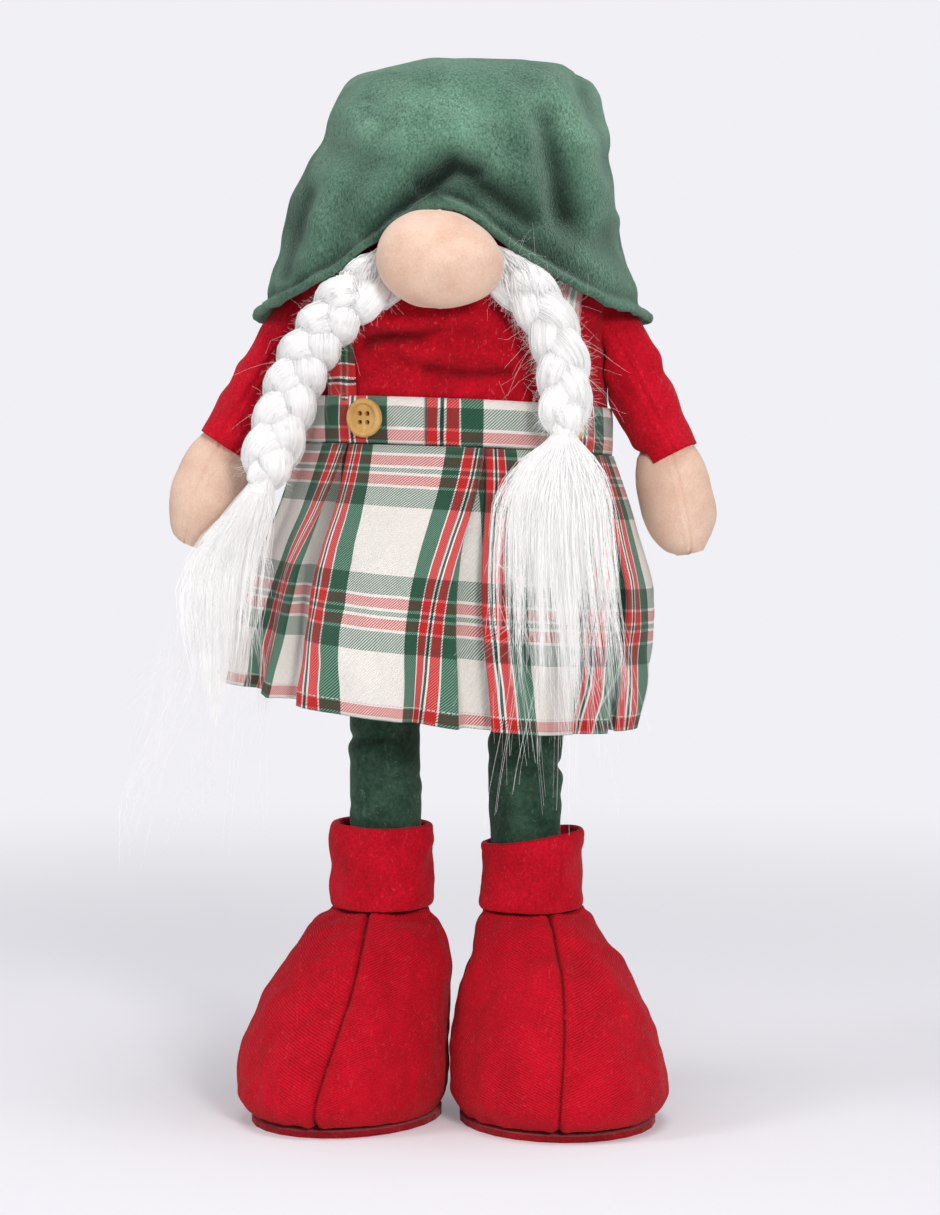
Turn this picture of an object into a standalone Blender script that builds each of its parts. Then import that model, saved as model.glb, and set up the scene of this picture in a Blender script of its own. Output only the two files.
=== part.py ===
"""A standing Christmas gnome figure, about 50 cm tall, in metres with +Z up.

It faces -Y. Angles round the body run from the front (-Y) towards +X, so that a point at angle 0
is on the face and one at 90 degrees is on the figure's own left side, at +X.
"""

import math

import bmesh
import bpy
import numpy as np
from mathutils import Matrix, Vector

MM = 0.001
LEFT, RIGHT = -1, 1
SIDES = {"left": LEFT, "right": RIGHT}

# Where the middle of the feet stands, so that the origin is under the middle of the whole figure.
STANCE = Vector((5.6 * MM, 0.4 * MM, 0.0))

SEAT_GAP = 0.35 * MM  # between two pieces that are sewn or rest together
ROUND_STEPS = 30  # segments round the body and the hat

# Stuffed body: height, half width and half depth of its sections, from the seat to the brow.
TORSO_SECTIONS = [
    (205.0 * MM, 58.0 * MM, 43.0 * MM),
    (214.0 * MM, 67.0 * MM, 53.0 * MM),
    (240.0 * MM, 72.0 * MM, 59.0 * MM),
    (290.0 * MM, 72.0 * MM, 60.0 * MM),
    (345.0 * MM, 72.0 * MM, 60.0 * MM),
    (375.0 * MM, 74.0 * MM, 61.0 * MM),
    (405.0 * MM, 73.0 * MM, 60.0 * MM),
    (425.0 * MM, 71.0 * MM, 61.0 * MM),
]

# Hat: the brim's height by angle from the front, and its cloth. The brim arches over the nose.
BRIM_HEIGHTS = [
    (-180.0, 368.0 * MM),
    (-135.0, 370.0 * MM),
    (-90.0, 374.0 * MM),
    (-53.0, 385.5 * MM),
    (-34.0, 397.5 * MM),
    (-22.5, 411.5 * MM),
    (-11.0, 425.0 * MM),
    (0.0, 430.5 * MM),
    (11.0, 423.0 * MM),
    (22.5, 408.0 * MM),
    (34.0, 397.0 * MM),
    (53.0, 382.0 * MM),
    (90.0, 374.0 * MM),
    (135.0, 370.0 * MM),
    (180.0, 368.0 * MM),
]
HAT_ROWS = 9
HAT_CLOTH = 3.0 * MM
HAT_HEM = 2.0 * MM  # how far the rolled hem stands proud of the cloth
HAT_TOP_Z = 498.0 * MM
# Share of the way from the brim to the height, the height below the top, half width, half depth,
# middle x and y, and how square the section is.
CROWN_SECTIONS = [
    (0.00, 66.0 * MM, 92.5 * MM, 76.0 * MM, -1.0 * MM, 2.0 * MM, 2.0),
    (0.45, 66.0 * MM, 82.5 * MM, 73.5 * MM, -2.0 * MM, 3.0 * MM, 2.1),
    (1.00, 66.0 * MM, 76.5 * MM, 70.5 * MM, -1.0 * MM, 4.0 * MM, 2.2),
    (1.00, 33.0 * MM, 66.0 * MM, 63.0 * MM, 5.0 * MM, 6.0 * MM, 2.5),
    (1.00, 15.0 * MM, 60.0 * MM, 54.5 * MM, 7.0 * MM, 8.0 * MM, 2.6),
    (1.00, 5.5 * MM, 49.0 * MM, 44.0 * MM, 9.0 * MM, 9.0 * MM, 2.6),
    (1.00, 1.0 * MM, 29.0 * MM, 26.0 * MM, 10.0 * MM, 10.0 * MM, 2.3),
]
HEAD_TOP_ROWS = 5  # crown rings, from the top down, that the head fills
# Creases of the hat: angle, share of the way up, width of each in the same units, and height.
HAT_CREASES = [
    (-62.0, 0.30, 7.0, 0.20, 3.5 * MM),
    (-40.0, 0.62, 9.0, 0.16, 2.5 * MM),
    (-50.0, 0.80, 12.0, 0.10, 4.0 * MM),
    (38.0, 0.45, 8.0, 0.22, 2.5 * MM),
    (62.0, 0.62, 9.0, 0.14, 2.5 * MM),
    (78.0, 0.15, 7.0, 0.15, 2.5 * MM),
    (14.0, 0.25, 7.0, 0.12, 2.5 * MM),
]
# Tail of the hat, flopped over behind: y, z, half width and half thickness of its sections.
TAIL_SECTIONS = [
    (22.0 * MM, HAT_TOP_Z - 20.0 * MM, 46.0 * MM, 15.0 * MM),
    (52.0 * MM, HAT_TOP_Z - 22.0 * MM, 46.0 * MM, 16.0 * MM),
    (78.0 * MM, HAT_TOP_Z - 42.0 * MM, 43.0 * MM, 14.0 * MM),
    (90.0 * MM, HAT_TOP_Z - 73.0 * MM, 37.0 * MM, 11.0 * MM),
    (92.0 * MM, HAT_TOP_Z - 106.0 * MM, 28.0 * MM, 9.0 * MM),
    (89.0 * MM, HAT_TOP_Z - 138.0 * MM, 18.0 * MM, 7.0 * MM),
    (86.0 * MM, HAT_TOP_Z - 160.0 * MM, 8.0 * MM, 5.0 * MM),
]
TAIL_X = 7.0 * MM
TAIL_ROWS = 8
TAIL_STEPS = 12

# Nose
NOSE_HALF = Vector((29.0 * MM, 23.5 * MM, 22.4 * MM))
NOSE_CENTRE_Z = 403.6 * MM
NOSE_OUT = 19.0 * MM  # its centre in front of the face
NOSE_STEPS = (16, 9)  # segments round and from pole to pole

# Arms: x, y, z and radius of the sections from the shoulder to the wrist, where the hand begins,
# and on to the fingers.
ARM_DEPTH = 0.78  # front to back thickness as a share of the width of a hand
SLEEVES = {
    "left": [
        (-57.0 * MM, -2.0 * MM, 391.0 * MM, 14.5 * MM),
        (-69.5 * MM, -3.0 * MM, 376.0 * MM, 16.0 * MM),
        (-85.0 * MM, -6.0 * MM, 354.0 * MM, 15.8 * MM),
        (-105.0 * MM, -9.0 * MM, 319.0 * MM, 15.0 * MM),
    ],
    "right": [
        (57.0 * MM, -2.0 * MM, 391.0 * MM, 14.5 * MM),
        (69.0 * MM, -3.0 * MM, 376.0 * MM, 15.8 * MM),
        (83.2 * MM, -7.0 * MM, 353.0 * MM, 15.2 * MM),
        (98.8 * MM, -10.0 * MM, 317.0 * MM, 14.6 * MM),
    ],
}
HANDS = {
    "left": [
        (-110.5 * MM, -8.5 * MM, 307.0 * MM, 18.0 * MM),
        (-116.5 * MM, -9.0 * MM, 292.0 * MM, 19.5 * MM),
        (-121.5 * MM, -9.5 * MM, 279.0 * MM, 15.5 * MM),
        (-125.5 * MM, -10.0 * MM, 270.5 * MM, 8.0 * MM),
    ],
    "right": [
        (102.0 * MM, -8.5 * MM, 304.0 * MM, 17.5 * MM),
        (105.2 * MM, -9.0 * MM, 288.0 * MM, 18.2 * MM),
        (108.5 * MM, -9.5 * MM, 275.0 * MM, 15.0 * MM),
        (109.8 * MM, -10.0 * MM, 267.5 * MM, 8.0 * MM),
    ],
}
SLEEVE_ROWS = 6
HAND_ROWS = 7
LIMB_STEPS = 14
WRIST_SHARE = 0.90  # radius of the hand where it leaves the sleeve, as a share of the sleeve's

# Plaits: the route of each one's middle, from the head to its tie.
PLAIT_ROUTES = {
    "left": [
        (-25.5 * MM, -58.0 * MM, 396.5 * MM),
        (-34.0 * MM, -66.5 * MM, 391.5 * MM),
        (-47.5 * MM, -63.0 * MM, 381.0 * MM),
        (-65.5 * MM, -49.0 * MM, 357.5 * MM),
        (-76.5 * MM, -42.0 * MM, 330.0 * MM),
        (-86.5 * MM, -42.0 * MM, 300.0 * MM),
    ],
    "right": [
        (26.0 * MM, -58.0 * MM, 397.5 * MM),
        (36.5 * MM, -67.0 * MM, 391.0 * MM),
        (46.5 * MM, -66.0 * MM, 379.0 * MM),
        (53.5 * MM, -64.0 * MM, 361.0 * MM),
        (55.5 * MM, -64.0 * MM, 343.0 * MM),
        (55.0 * MM, -68.0 * MM, 324.0 * MM),
    ],
}
PLAIT_PERIOD = 42.0 * MM
PLAIT_SWING = 7.2 * MM  # sideways, to each side of the middle
PLAIT_RISE = 4.4 * MM  # front to back
LOCK_RADIUS = 4.5 * MM
PLAIT_CORE = 4.2 * MM  # radius of the hair that closes the middle between the locks
PLAIT_STEP = 3.2 * MM  # between the rings along a plait
PLAIT_STEPS = 12  # segments round it
TIE_RADIUS = 7.6 * MM
TIE_WIRE = 1.6 * MM
TIE_DROP = 3.2 * MM  # from the end of the plait down to the tie's middle
TIE_STEPS = (12, 5)  # segments round the tie and round its wire
LOCKS = 3

# Tassels: x, y, z, half width and half depth of the sections below each tie.
TASSELS = {
    "left": [
        (-92.0 * MM, -42.5 * MM, 286.0 * MM, 10.0 * MM, 8.5 * MM),
        (-99.5 * MM, -44.5 * MM, 272.0 * MM, 17.0 * MM, 10.0 * MM),
        (-103.5 * MM, -54.0 * MM, 252.0 * MM, 21.0 * MM, 10.5 * MM),
        (-103.0 * MM, -63.5 * MM, 228.0 * MM, 18.5 * MM, 9.5 * MM),
        (-103.0 * MM, -67.0 * MM, 207.0 * MM, 12.0 * MM, 7.0 * MM),
        (-104.0 * MM, -70.0 * MM, 190.0 * MM, 5.0 * MM, 4.0 * MM),
    ],
    "right": [
        (52.5 * MM, -71.5 * MM, 309.0 * MM, 13.0 * MM, 9.0 * MM),
        (50.0 * MM, -77.0 * MM, 294.0 * MM, 23.0 * MM, 10.5 * MM),
        (50.5 * MM, -84.5 * MM, 268.0 * MM, 29.0 * MM, 10.5 * MM),
        (52.5 * MM, -90.5 * MM, 238.0 * MM, 27.5 * MM, 10.0 * MM),
        (52.0 * MM, -95.0 * MM, 212.0 * MM, 18.0 * MM, 8.0 * MM),
        (50.0 * MM, -97.0 * MM, 188.0 * MM, 8.0 * MM, 5.0 * MM),
    ],
}
TASSEL_FLUTES = 7
TASSEL_ROWS = 9
TASSEL_FLUTE_SHARE = 0.10

# Dress: a waistband that leans, and a pleated skirt sewn below it.
BAND_TOP_Z = 336.5 * MM
BAND_HEIGHT = 22.0 * MM
BAND_CLOTH = 2.0 * MM
BAND_STEPS = 36
BAND_FIT = 0.5 * MM  # between the body and the waistband
BAND_LEAN_X = -0.034
BAND_LEAN_Y = -0.070
SKIRT_CLOTH = 1.2 * MM
# Share of the way down, middle x, half width and half depth of the skirt.
SKIRT_SECTIONS = [
    (0.00, 0.0 * MM, 74.8 * MM, 63.2 * MM),
    (0.25, 2.0 * MM, 84.0 * MM, 73.0 * MM),
    (0.50, 0.5 * MM, 93.0 * MM, 82.0 * MM),
    (0.75, -5.5 * MM, 96.5 * MM, 88.0 * MM),
    (1.00, -13.0 * MM, 97.5 * MM, 91.0 * MM),
]
SKIRT_ROWS = 5
HEM_Z = 197.0 * MM
HEM_LEAN_X = -11.5 * MM
HEM_LEAN_Y = -2.5 * MM
PLEATS = 7
PLEAT_START = 12.4  # degrees, the first fold beside the middle of the front
PLEAT_STEPS = 11  # mesh segments in each pleat
PLEAT_WIDTH = 6.5  # degrees
PLEAT_DEPTH_TOP = 1.2 * MM
PLEAT_DEPTH_HEM = 9.5 * MM
PLEAT_CREST = 0.35  # of the depth, beside each fold

STRAP_WIDTH = 16.0 * MM
STRAP_CLOTH = 1.2 * MM
STRAP_FIT = 1.0 * MM  # between the body and the strap
# Angle of each strap's ends, in front and behind, on top of the waistband.
STRAP_FEET = {"left": (43.0, 146.0), "right": (50.0, 146.0)}
# Angle round the body and height of a strap's middle. The fronts differ, the rest is shared.
STRAP_FRONTS = {
    "left": [(43.0, 368.0 * MM), (39.0, 392.0 * MM), (58.0, 405.0 * MM)],
    "right": [(46.0, 368.0 * MM), (50.0, 392.0 * MM), (64.0, 405.0 * MM)],
}
STRAP_BACK = [
    (90.0, 410.0 * MM),
    (122.0, 406.0 * MM),
    (146.0, 385.0 * MM),
]
STRAP_STEPS = 16

BUTTON_RADIUS = 9.0 * MM
BUTTON_HEIGHT = 4.0 * MM
BUTTON_DISH = 1.2 * MM
BUTTON_RIM = 2.0 * MM
BUTTON_SLOPE = 1.0 * MM  # the inside of the rim and the back edge
BUTTON_EDGE = 0.8 * MM  # rounding of the rim
BUTTON_HOLE_RADIUS = 1.0 * MM
BUTTON_HOLE_PITCH = 2.0 * MM  # from the middle to each hole, in x and in z
BUTTON_X = {"left": -35.5 * MM, "right": 54.0 * MM}
BUTTON_BELOW_BAND_TOP = 10.0 * MM
BUTTON_STAND_OFF = 0.75 * MM  # the thread shank that keeps it off the curved cloth
BUTTON_STEPS = 14

# Legs and what stiffens them
LEG_X = 33.5 * MM
LEG_RADIUS = 17.0 * MM
LEG_CREASE = 0.8 * MM
LEG_CREASES = 3
LEG_STEPS = 14
DOWEL_RADIUS = 5.0 * MM
DOWEL_FIT = 0.35 * MM
DOWEL_IN_BODY = 40.0 * MM
DOWEL_IN_BOOT = 56.0 * MM
DOWEL_STEPS = 12

SOLE_THICKNESS = 3.0 * MM
SOLE_EDGE = 0.2 * MM  # how far the sole stands out from the boot
BOOT_TOE_OUT = 18.0  # degrees
BOOT_TOP_Z = 97.0 * MM
# Share of the way up, middle x and y, half width and half length of each boot's sections, with x
# counted outwards from the middle of the figure. The two are sewn by hand and differ a little.
BOOT_SECTIONS = {
    "left": [
        (0.00, 50.3 * MM, -21.5 * MM, 46.2 * MM, 57.5 * MM),
        (0.06, 51.4 * MM, -22.5 * MM, 47.6 * MM, 59.5 * MM),
        (0.20, 51.3 * MM, -22.0 * MM, 48.0 * MM, 59.0 * MM),
        (0.45, 49.3 * MM, -17.0 * MM, 47.5 * MM, 52.5 * MM),
        (0.72, 41.6 * MM, -9.5 * MM, 40.3 * MM, 43.0 * MM),
        (0.88, 37.3 * MM, -4.0 * MM, 34.5 * MM, 34.5 * MM),
        (1.00, 35.5 * MM, 0.0 * MM, 24.5 * MM, 24.5 * MM),
    ],
    "right": [
        (0.00, 50.5 * MM, -21.5 * MM, 49.0 * MM, 57.5 * MM),
        (0.06, 51.3 * MM, -22.5 * MM, 50.8 * MM, 59.5 * MM),
        (0.20, 51.0 * MM, -22.0 * MM, 51.0 * MM, 59.0 * MM),
        (0.45, 48.0 * MM, -17.0 * MM, 48.0 * MM, 52.5 * MM),
        (0.72, 44.5 * MM, -9.0 * MM, 37.5 * MM, 42.0 * MM),
        (0.88, 40.0 * MM, -3.5 * MM, 31.0 * MM, 32.0 * MM),
        (1.00, 36.5 * MM, 0.0 * MM, 24.5 * MM, 24.5 * MM),
    ],
}
BOOT_STEPS = 26
BOOT_ROWS = 8
POUCH_HALF = (29.0 * MM, 39.0 * MM)
POUCH_HEIGHT = 26.0 * MM
POUCH_FIT = 1.0 * MM
POUCH_STEPS = (12, 7)
POCKET_STEPS = 16

# Folded cuffs on the boots
CUFF_HEIGHTS = {"left": 40.0 * MM, "right": 35.0 * MM}
CUFF_FELT = 3.6 * MM
CUFF_BOTTOM_RADIUS = 24.6 * MM
CUFF_TOP_RADIUS = 23.6 * MM
CUFF_STEPS = 18

COLOURS = {
    "green_plush": ((0.060, 0.205, 0.110), 0.95),
    "peach_felt": ((0.820, 0.600, 0.440), 0.95),
    "red_fleece": ((0.480, 0.006, 0.012), 0.95),
    "red_felt": ((0.520, 0.008, 0.014), 0.95),
    "white_hair": ((0.880, 0.870, 0.860), 0.55),
    "checked_cotton": ((0.640, 0.440, 0.380), 0.90),
    "green_felt": ((0.025, 0.105, 0.050), 0.95),
    "button_wood": ((0.560, 0.330, 0.130), 0.50),
    "dowel_wood": ((0.620, 0.450, 0.260), 0.70),
    "pellet_bag": ((0.700, 0.690, 0.660), 0.90),
    "sole_felt": ((0.450, 0.010, 0.014), 0.95),
}


def start_scene():
    """Empties the scene and gives the two collections and the empty that carries every piece."""
    for old in list(bpy.data.objects):
        bpy.data.objects.remove(old)
    parts = bpy.data.collections.new("christmas_gnome")
    cutters = bpy.data.collections.new("cutters")
    for collection in (parts, cutters):
        bpy.context.scene.collection.children.link(collection)
    stand = bpy.data.objects.new("stand", None)
    stand.location = STANCE
    parts.objects.link(stand)
    return parts, cutters, stand


def make_material(name):
    colour, roughness = COLOURS[name]
    material = bpy.data.materials.new(name)
    material.use_nodes = True
    shader = material.node_tree.nodes["Principled BSDF"]
    shader.inputs["Base Color"].default_value = (*colour, 1.0)
    shader.inputs["Roughness"].default_value = roughness
    shader.inputs["Metallic"].default_value = 0.0
    material.diffuse_color = (*colour, 1.0)
    return material


PARTS, CUTTERS, STAND = start_scene()
MATERIALS = {name: make_material(name) for name in COLOURS}


def add_piece(name, mesh, material):
    """Adds a visible piece, which takes its place from the stand."""
    mesh.materials.append(MATERIALS[material])
    piece = bpy.data.objects.new(name, mesh)
    piece.parent = STAND
    PARTS.objects.link(piece)
    return piece


def add_cutter(name, mesh):
    cutter = bpy.data.objects.new(name, mesh)
    cutter.parent = STAND
    cutter.hide_render = True
    cutter.display_type = "WIRE"
    CUTTERS.objects.link(cutter)
    return cutter


def cut(piece, cutter, operation="DIFFERENCE"):
    modifier = piece.modifiers.new(cutter.name, "BOOLEAN")
    modifier.operation = operation
    modifier.object = cutter


def smooth(mesh, sharp_degrees=50.0):
    mesh.shade_smooth()
    mesh.set_sharp_from_angle(angle=math.radians(sharp_degrees))
    return mesh


def mesh_from(name, builder, *arguments, **named):
    """A mesh made with one of the bmesh primitives."""
    shape = bmesh.new()
    builder(shape, *arguments, **named)
    mesh = bpy.data.meshes.new(name)
    shape.to_mesh(mesh)
    shape.free()
    return smooth(mesh)


def cylinder(name, radius, low, high, x=0.0, segments=16):
    """A round bar along Z at x, from low to high."""
    place = Matrix.Translation((x, 0.0, (low + high) / 2))
    return mesh_from(
        name, bmesh.ops.create_cone, cap_ends=True, segments=segments,
        radius1=radius, radius2=radius, depth=high - low, matrix=place,
    )


def loft(name, rows, close_start=True, close_end=True, sharp_degrees=50.0):
    """Skins a list of rings, which run from low to high with their points anticlockwise from above."""
    steps = len(rows[0])
    points = [tuple(point) for row in rows for point in row]
    faces = []
    for row in range(len(rows) - 1):
        for step in range(steps):
            beside = (step + 1) % steps
            low, high = row * steps, (row + 1) * steps
            faces.append((low + step, low + beside, high + beside, high + step))
    if close_start:
        faces.append(tuple(reversed(range(steps))))
    if close_end:
        faces.append(tuple(range((len(rows) - 1) * steps, len(rows) * steps)))
    mesh = bpy.data.meshes.new(name)
    mesh.from_pydata(points, [], faces)
    return smooth(mesh, sharp_degrees)


def through(knots, count):
    """Values at evenly spaced places on the smooth (Catmull-Rom) curve through the knots."""
    knots = np.asarray(knots, float)
    ends = np.vstack([2 * knots[0] - knots[1], knots, 2 * knots[-1] - knots[-2]])
    values = []
    for place in np.linspace(0.0, len(knots) - 1, count):
        start = min(int(place), len(knots) - 2)
        t = place - start
        a, b, c, d = ends[start:start + 4]
        values.append(
            b + 0.5 * t * (c - a + t * (2 * a - 5 * b + 4 * c - d + t * (3 * b - a - 3 * c + d)))
        )
    return np.array(values)


def angles(steps, start=0.0):
    return np.radians(start) + np.linspace(0.0, 2 * math.pi, steps, endpoint=False)


def ring(turns, half_width, half_depth, x=0.0, y=0.0, squareness=2.0):
    """x and y of a rounded section, one point for each angle from the front."""
    across, along = np.sin(turns), np.cos(turns)
    power = 2.0 / squareness
    xs = x + half_width * np.sign(across) * np.abs(across) ** power
    ys = y - half_depth * np.sign(along) * np.abs(along) ** power
    return xs, ys


def stack(xs, ys, zs):
    return np.stack([xs, ys, np.broadcast_to(zs, np.shape(xs))], axis=1)


def grown(rows, distance):
    """The rings moved out along their own surface's normals, or in where the distance is negative."""
    grid = np.array(rows)
    round_way = np.roll(grid, -1, axis=1) - np.roll(grid, 1, axis=1)
    up_way = np.gradient(grid, axis=0)
    normals = np.cross(round_way, up_way)
    normals /= np.linalg.norm(normals, axis=2, keepdims=True)
    return grid + distance * normals


# Hat and head


def brim_height(turns):
    """The brim arches over the nose, falls to the sides and drops a little more behind."""
    knot_turns, heights = zip(*BRIM_HEIGHTS)
    return np.interp((np.degrees(turns) + 180.0) % 360.0 - 180.0, knot_turns, heights)


def crown_rows(sections):
    turns = angles(ROUND_STEPS)
    rows = []
    for share, below_top, half_width, half_depth, x, y, squareness in sections:
        brim = brim_height(turns)
        heights = brim + share * (HAT_TOP_Z - below_top - brim)
        rows.append(stack(*ring(turns, half_width, half_depth, x, y, squareness), heights))
    return rows


def crease_lift(share_up):
    """How far the creases stand out, for a ring at this share of the way up the hat."""
    turns = np.degrees(angles(ROUND_STEPS))
    lift = np.zeros(ROUND_STEPS)
    for turn, up, turn_width, up_width, height in HAT_CREASES:
        away = (turns - turn + 180.0) % 360.0 - 180.0
        lift += height * np.exp(-((away / turn_width) ** 2) - ((share_up - up) / up_width) ** 2)
    return lift


def creased_crown():
    """Rings of the hat's outside: the plain crown with a rolled hem and its creases."""
    dense = through(CROWN_SECTIONS, HAT_ROWS)
    plain = np.array(crown_rows(dense))
    lifts = [crease_lift(share) for share in np.linspace(0.0, 1.0, len(plain))]
    lifts[0] = lifts[0] + HAT_HEM
    outward = grown(plain, 1.0) - plain
    return plain + outward * np.array(lifts)[:, :, None]


def tail_mesh():
    """The hat's point, flattened and hanging down the back, skinned along its own bend."""
    sections = through(TAIL_SECTIONS, TAIL_ROWS)
    spine = sections[:, :2]
    course = np.gradient(spine, axis=0)
    course /= np.linalg.norm(course, axis=1, keepdims=True)
    rows = []
    for (y, z, half_width, half_thickness), (run, rise) in zip(sections, course):
        turns = angles(TAIL_STEPS)
        across = TAIL_X + half_width * np.cos(turns)
        out = half_thickness * np.sin(turns)
        rows.append(np.stack([across, y - rise * out, z + run * out], axis=1))
    return loft("hat_tail", rows)


def make_hat(seat):
    """The crown's cloth and the tail in one, with the head's place left free inside."""
    mesh = loft("hat", creased_crown(), close_start=False)
    hat = add_piece("hat", mesh, "green_plush")
    wall = hat.modifiers.new("cloth", "SOLIDIFY")
    wall.thickness = HAT_CLOTH
    wall.offset = -1.0
    wall.use_even_offset = True
    cut(hat, add_cutter("hat_tail", tail_mesh()), "UNION")
    cut(hat, seat)


def torso_rows():
    """Rings of the body from the seat to the crown of the head, which fills the top of the hat."""
    turns = angles(ROUND_STEPS)
    rows = []
    for height, half_width, half_depth in TORSO_SECTIONS:
        rows.append(stack(*ring(turns, half_width, half_depth), height))
    head = grown(crown_rows(through(CROWN_SECTIONS, HAT_ROWS)), -(HAT_CLOTH + 2 * SEAT_GAP))
    return rows + list(head[-HEAD_TOP_ROWS:])


def torso_half(height):
    """Half width and half depth of the body at a height below the brow."""
    heights, widths, depths = zip(*TORSO_SECTIONS)
    return np.interp(height, heights, widths), np.interp(height, heights, depths)


def on_torso(turn, height, out=0.0):
    """The point at an angle and height on the body, moved out of it by the given distance."""
    half_width, half_depth = torso_half(height)
    across, along = math.sin(turn), math.cos(turn)
    normal = Vector((across * half_depth, -along * half_width, 0.0)).normalized()
    return Vector((half_width * across, -half_depth * along, height)) + out * normal


def make_torso():
    torso = add_piece("torso", loft("torso", torso_rows()), "red_fleece")
    low = TORSO_SECTIONS[0][0]
    for side, sign in SIDES.items():
        bore = cylinder(
            f"{side}_body_bore", DOWEL_RADIUS + DOWEL_FIT,
            low - SEAT_GAP, low + DOWEL_IN_BODY + DOWEL_FIT, sign * LEG_X,
        )
        cut(torso, add_cutter(f"{side}_body_bore", bore))


def torso_clearance():
    """The body with the sewing gap round it, to seat the pieces that are sewn onto it."""
    return add_cutter("torso_clearance", loft("torso_clearance", grown(torso_rows(), SEAT_GAP)))


def make_nose(seat):
    face = torso_half(NOSE_CENTRE_Z)[1]
    place = Matrix.Translation((0.0, -face - NOSE_OUT, NOSE_CENTRE_Z)) @ Matrix.Diagonal((*NOSE_HALF, 1.0))
    mesh = mesh_from(
        "nose", bmesh.ops.create_uvsphere, u_segments=NOSE_STEPS[0], v_segments=NOSE_STEPS[1],
        radius=1.0, matrix=place,
    )
    cut(add_piece("nose", mesh, "peach_felt"), seat)


# Arms


def limb_rows(sections, first_way=None, last_way=None, depth_share=1.0):
    """Rings square to a limb's own course, given as x, y, z and radius."""
    course = np.gradient(sections[:, :3], axis=0)
    if first_way is not None:
        course[0] = first_way
    if last_way is not None:
        course[-1] = last_way
    rows = []
    for (x, y, z, radius), way in zip(sections, course):
        way = Vector(way).normalized()
        across = np.array(way.cross(Vector((0.0, 1.0, 0.0))).normalized())
        behind = np.cross(way, across)
        turns = angles(LIMB_STEPS)[:, None]
        circle = np.cos(turns) * across + depth_share * np.sin(turns) * behind
        rows.append(np.array((x, y, z)) + radius * circle)
    return rows


def make_arms(seat):
    for side in SIDES:
        wrist = np.array(SLEEVES[side][-1])
        way = np.array(HANDS[side][0][:3]) - wrist[:3]
        way /= np.linalg.norm(way)

        sleeve = through(SLEEVES[side], SLEEVE_ROWS)
        mesh = loft(f"{side}_sleeve", limb_rows(sleeve, last_way=way))
        cut(add_piece(f"{side}_sleeve", mesh, "red_felt"), seat)

        start = [*(wrist[:3] + way * SEAT_GAP), wrist[3] * WRIST_SHARE]
        hand = through([start, *HANDS[side]], HAND_ROWS)
        rows = limb_rows(hand, first_way=way, depth_share=ARM_DEPTH)
        add_piece(f"{side}_hand", loft(f"{side}_hand", rows), "peach_felt")


# Plaits, ties and tassels


def route_points(route, step):
    """Evenly spaced points and their frames along the smooth curve through a route."""
    fine = through(route, 400)
    lengths = np.concatenate([[0.0], np.cumsum(np.linalg.norm(np.diff(fine, axis=0), axis=1))])
    count = max(4, round(lengths[-1] / step))
    places = np.linspace(0.0, lengths[-1], count + 1)
    points = np.stack([np.interp(places, lengths, fine[:, axis]) for axis in range(3)], axis=1)
    course = np.gradient(points, axis=0)
    course /= np.linalg.norm(course, axis=1, keepdims=True)
    return places, points, course


def plait_frame(way):
    """Sideways and forward directions of a plait that runs this way."""
    way = Vector(way)
    side = way.cross(Vector((0.0, -1.0, 0.0))).normalized()
    return side, side.cross(way).normalized()


def plait_outline(place):
    """Distances from the middle of a plait to the outside of its three locks, all round."""
    turns = angles(PLAIT_STEPS)
    reach = np.full(PLAIT_STEPS, PLAIT_CORE)
    for lock in range(LOCKS):
        swing = 2 * math.pi * (place / PLAIT_PERIOD + lock / LOCKS)
        x, y = PLAIT_SWING * math.sin(swing), PLAIT_RISE * math.sin(2 * swing)
        along = x * np.cos(turns) + y * np.sin(turns)
        beside = x * np.sin(turns) - y * np.cos(turns)
        met = LOCK_RADIUS**2 - beside**2
        far = along + np.sqrt(np.maximum(met, 0.0))
        reach = np.where(met > 0.0, np.maximum(reach, far), reach)
    return turns, reach


def plait_rows(route):
    """Rings of a three-lock plait square to its own course."""
    rows = []
    for place, point, way in zip(*route_points(route, PLAIT_STEP)):
        side, front = plait_frame(way)
        turns, reach = plait_outline(place)
        across, out = reach * np.cos(turns), reach * np.sin(turns)
        rows.append(point + across[:, None] * np.array(side) + out[:, None] * np.array(front))
    return rows


def make_plaits(seat):
    for side, route in PLAIT_ROUTES.items():
        name = f"{side}_braid"
        braid = add_piece(name, loft(name, plait_rows(route), sharp_degrees=70.0), "white_hair")
        cut(braid, seat)
        make_tie_and_tassel(side)


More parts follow.
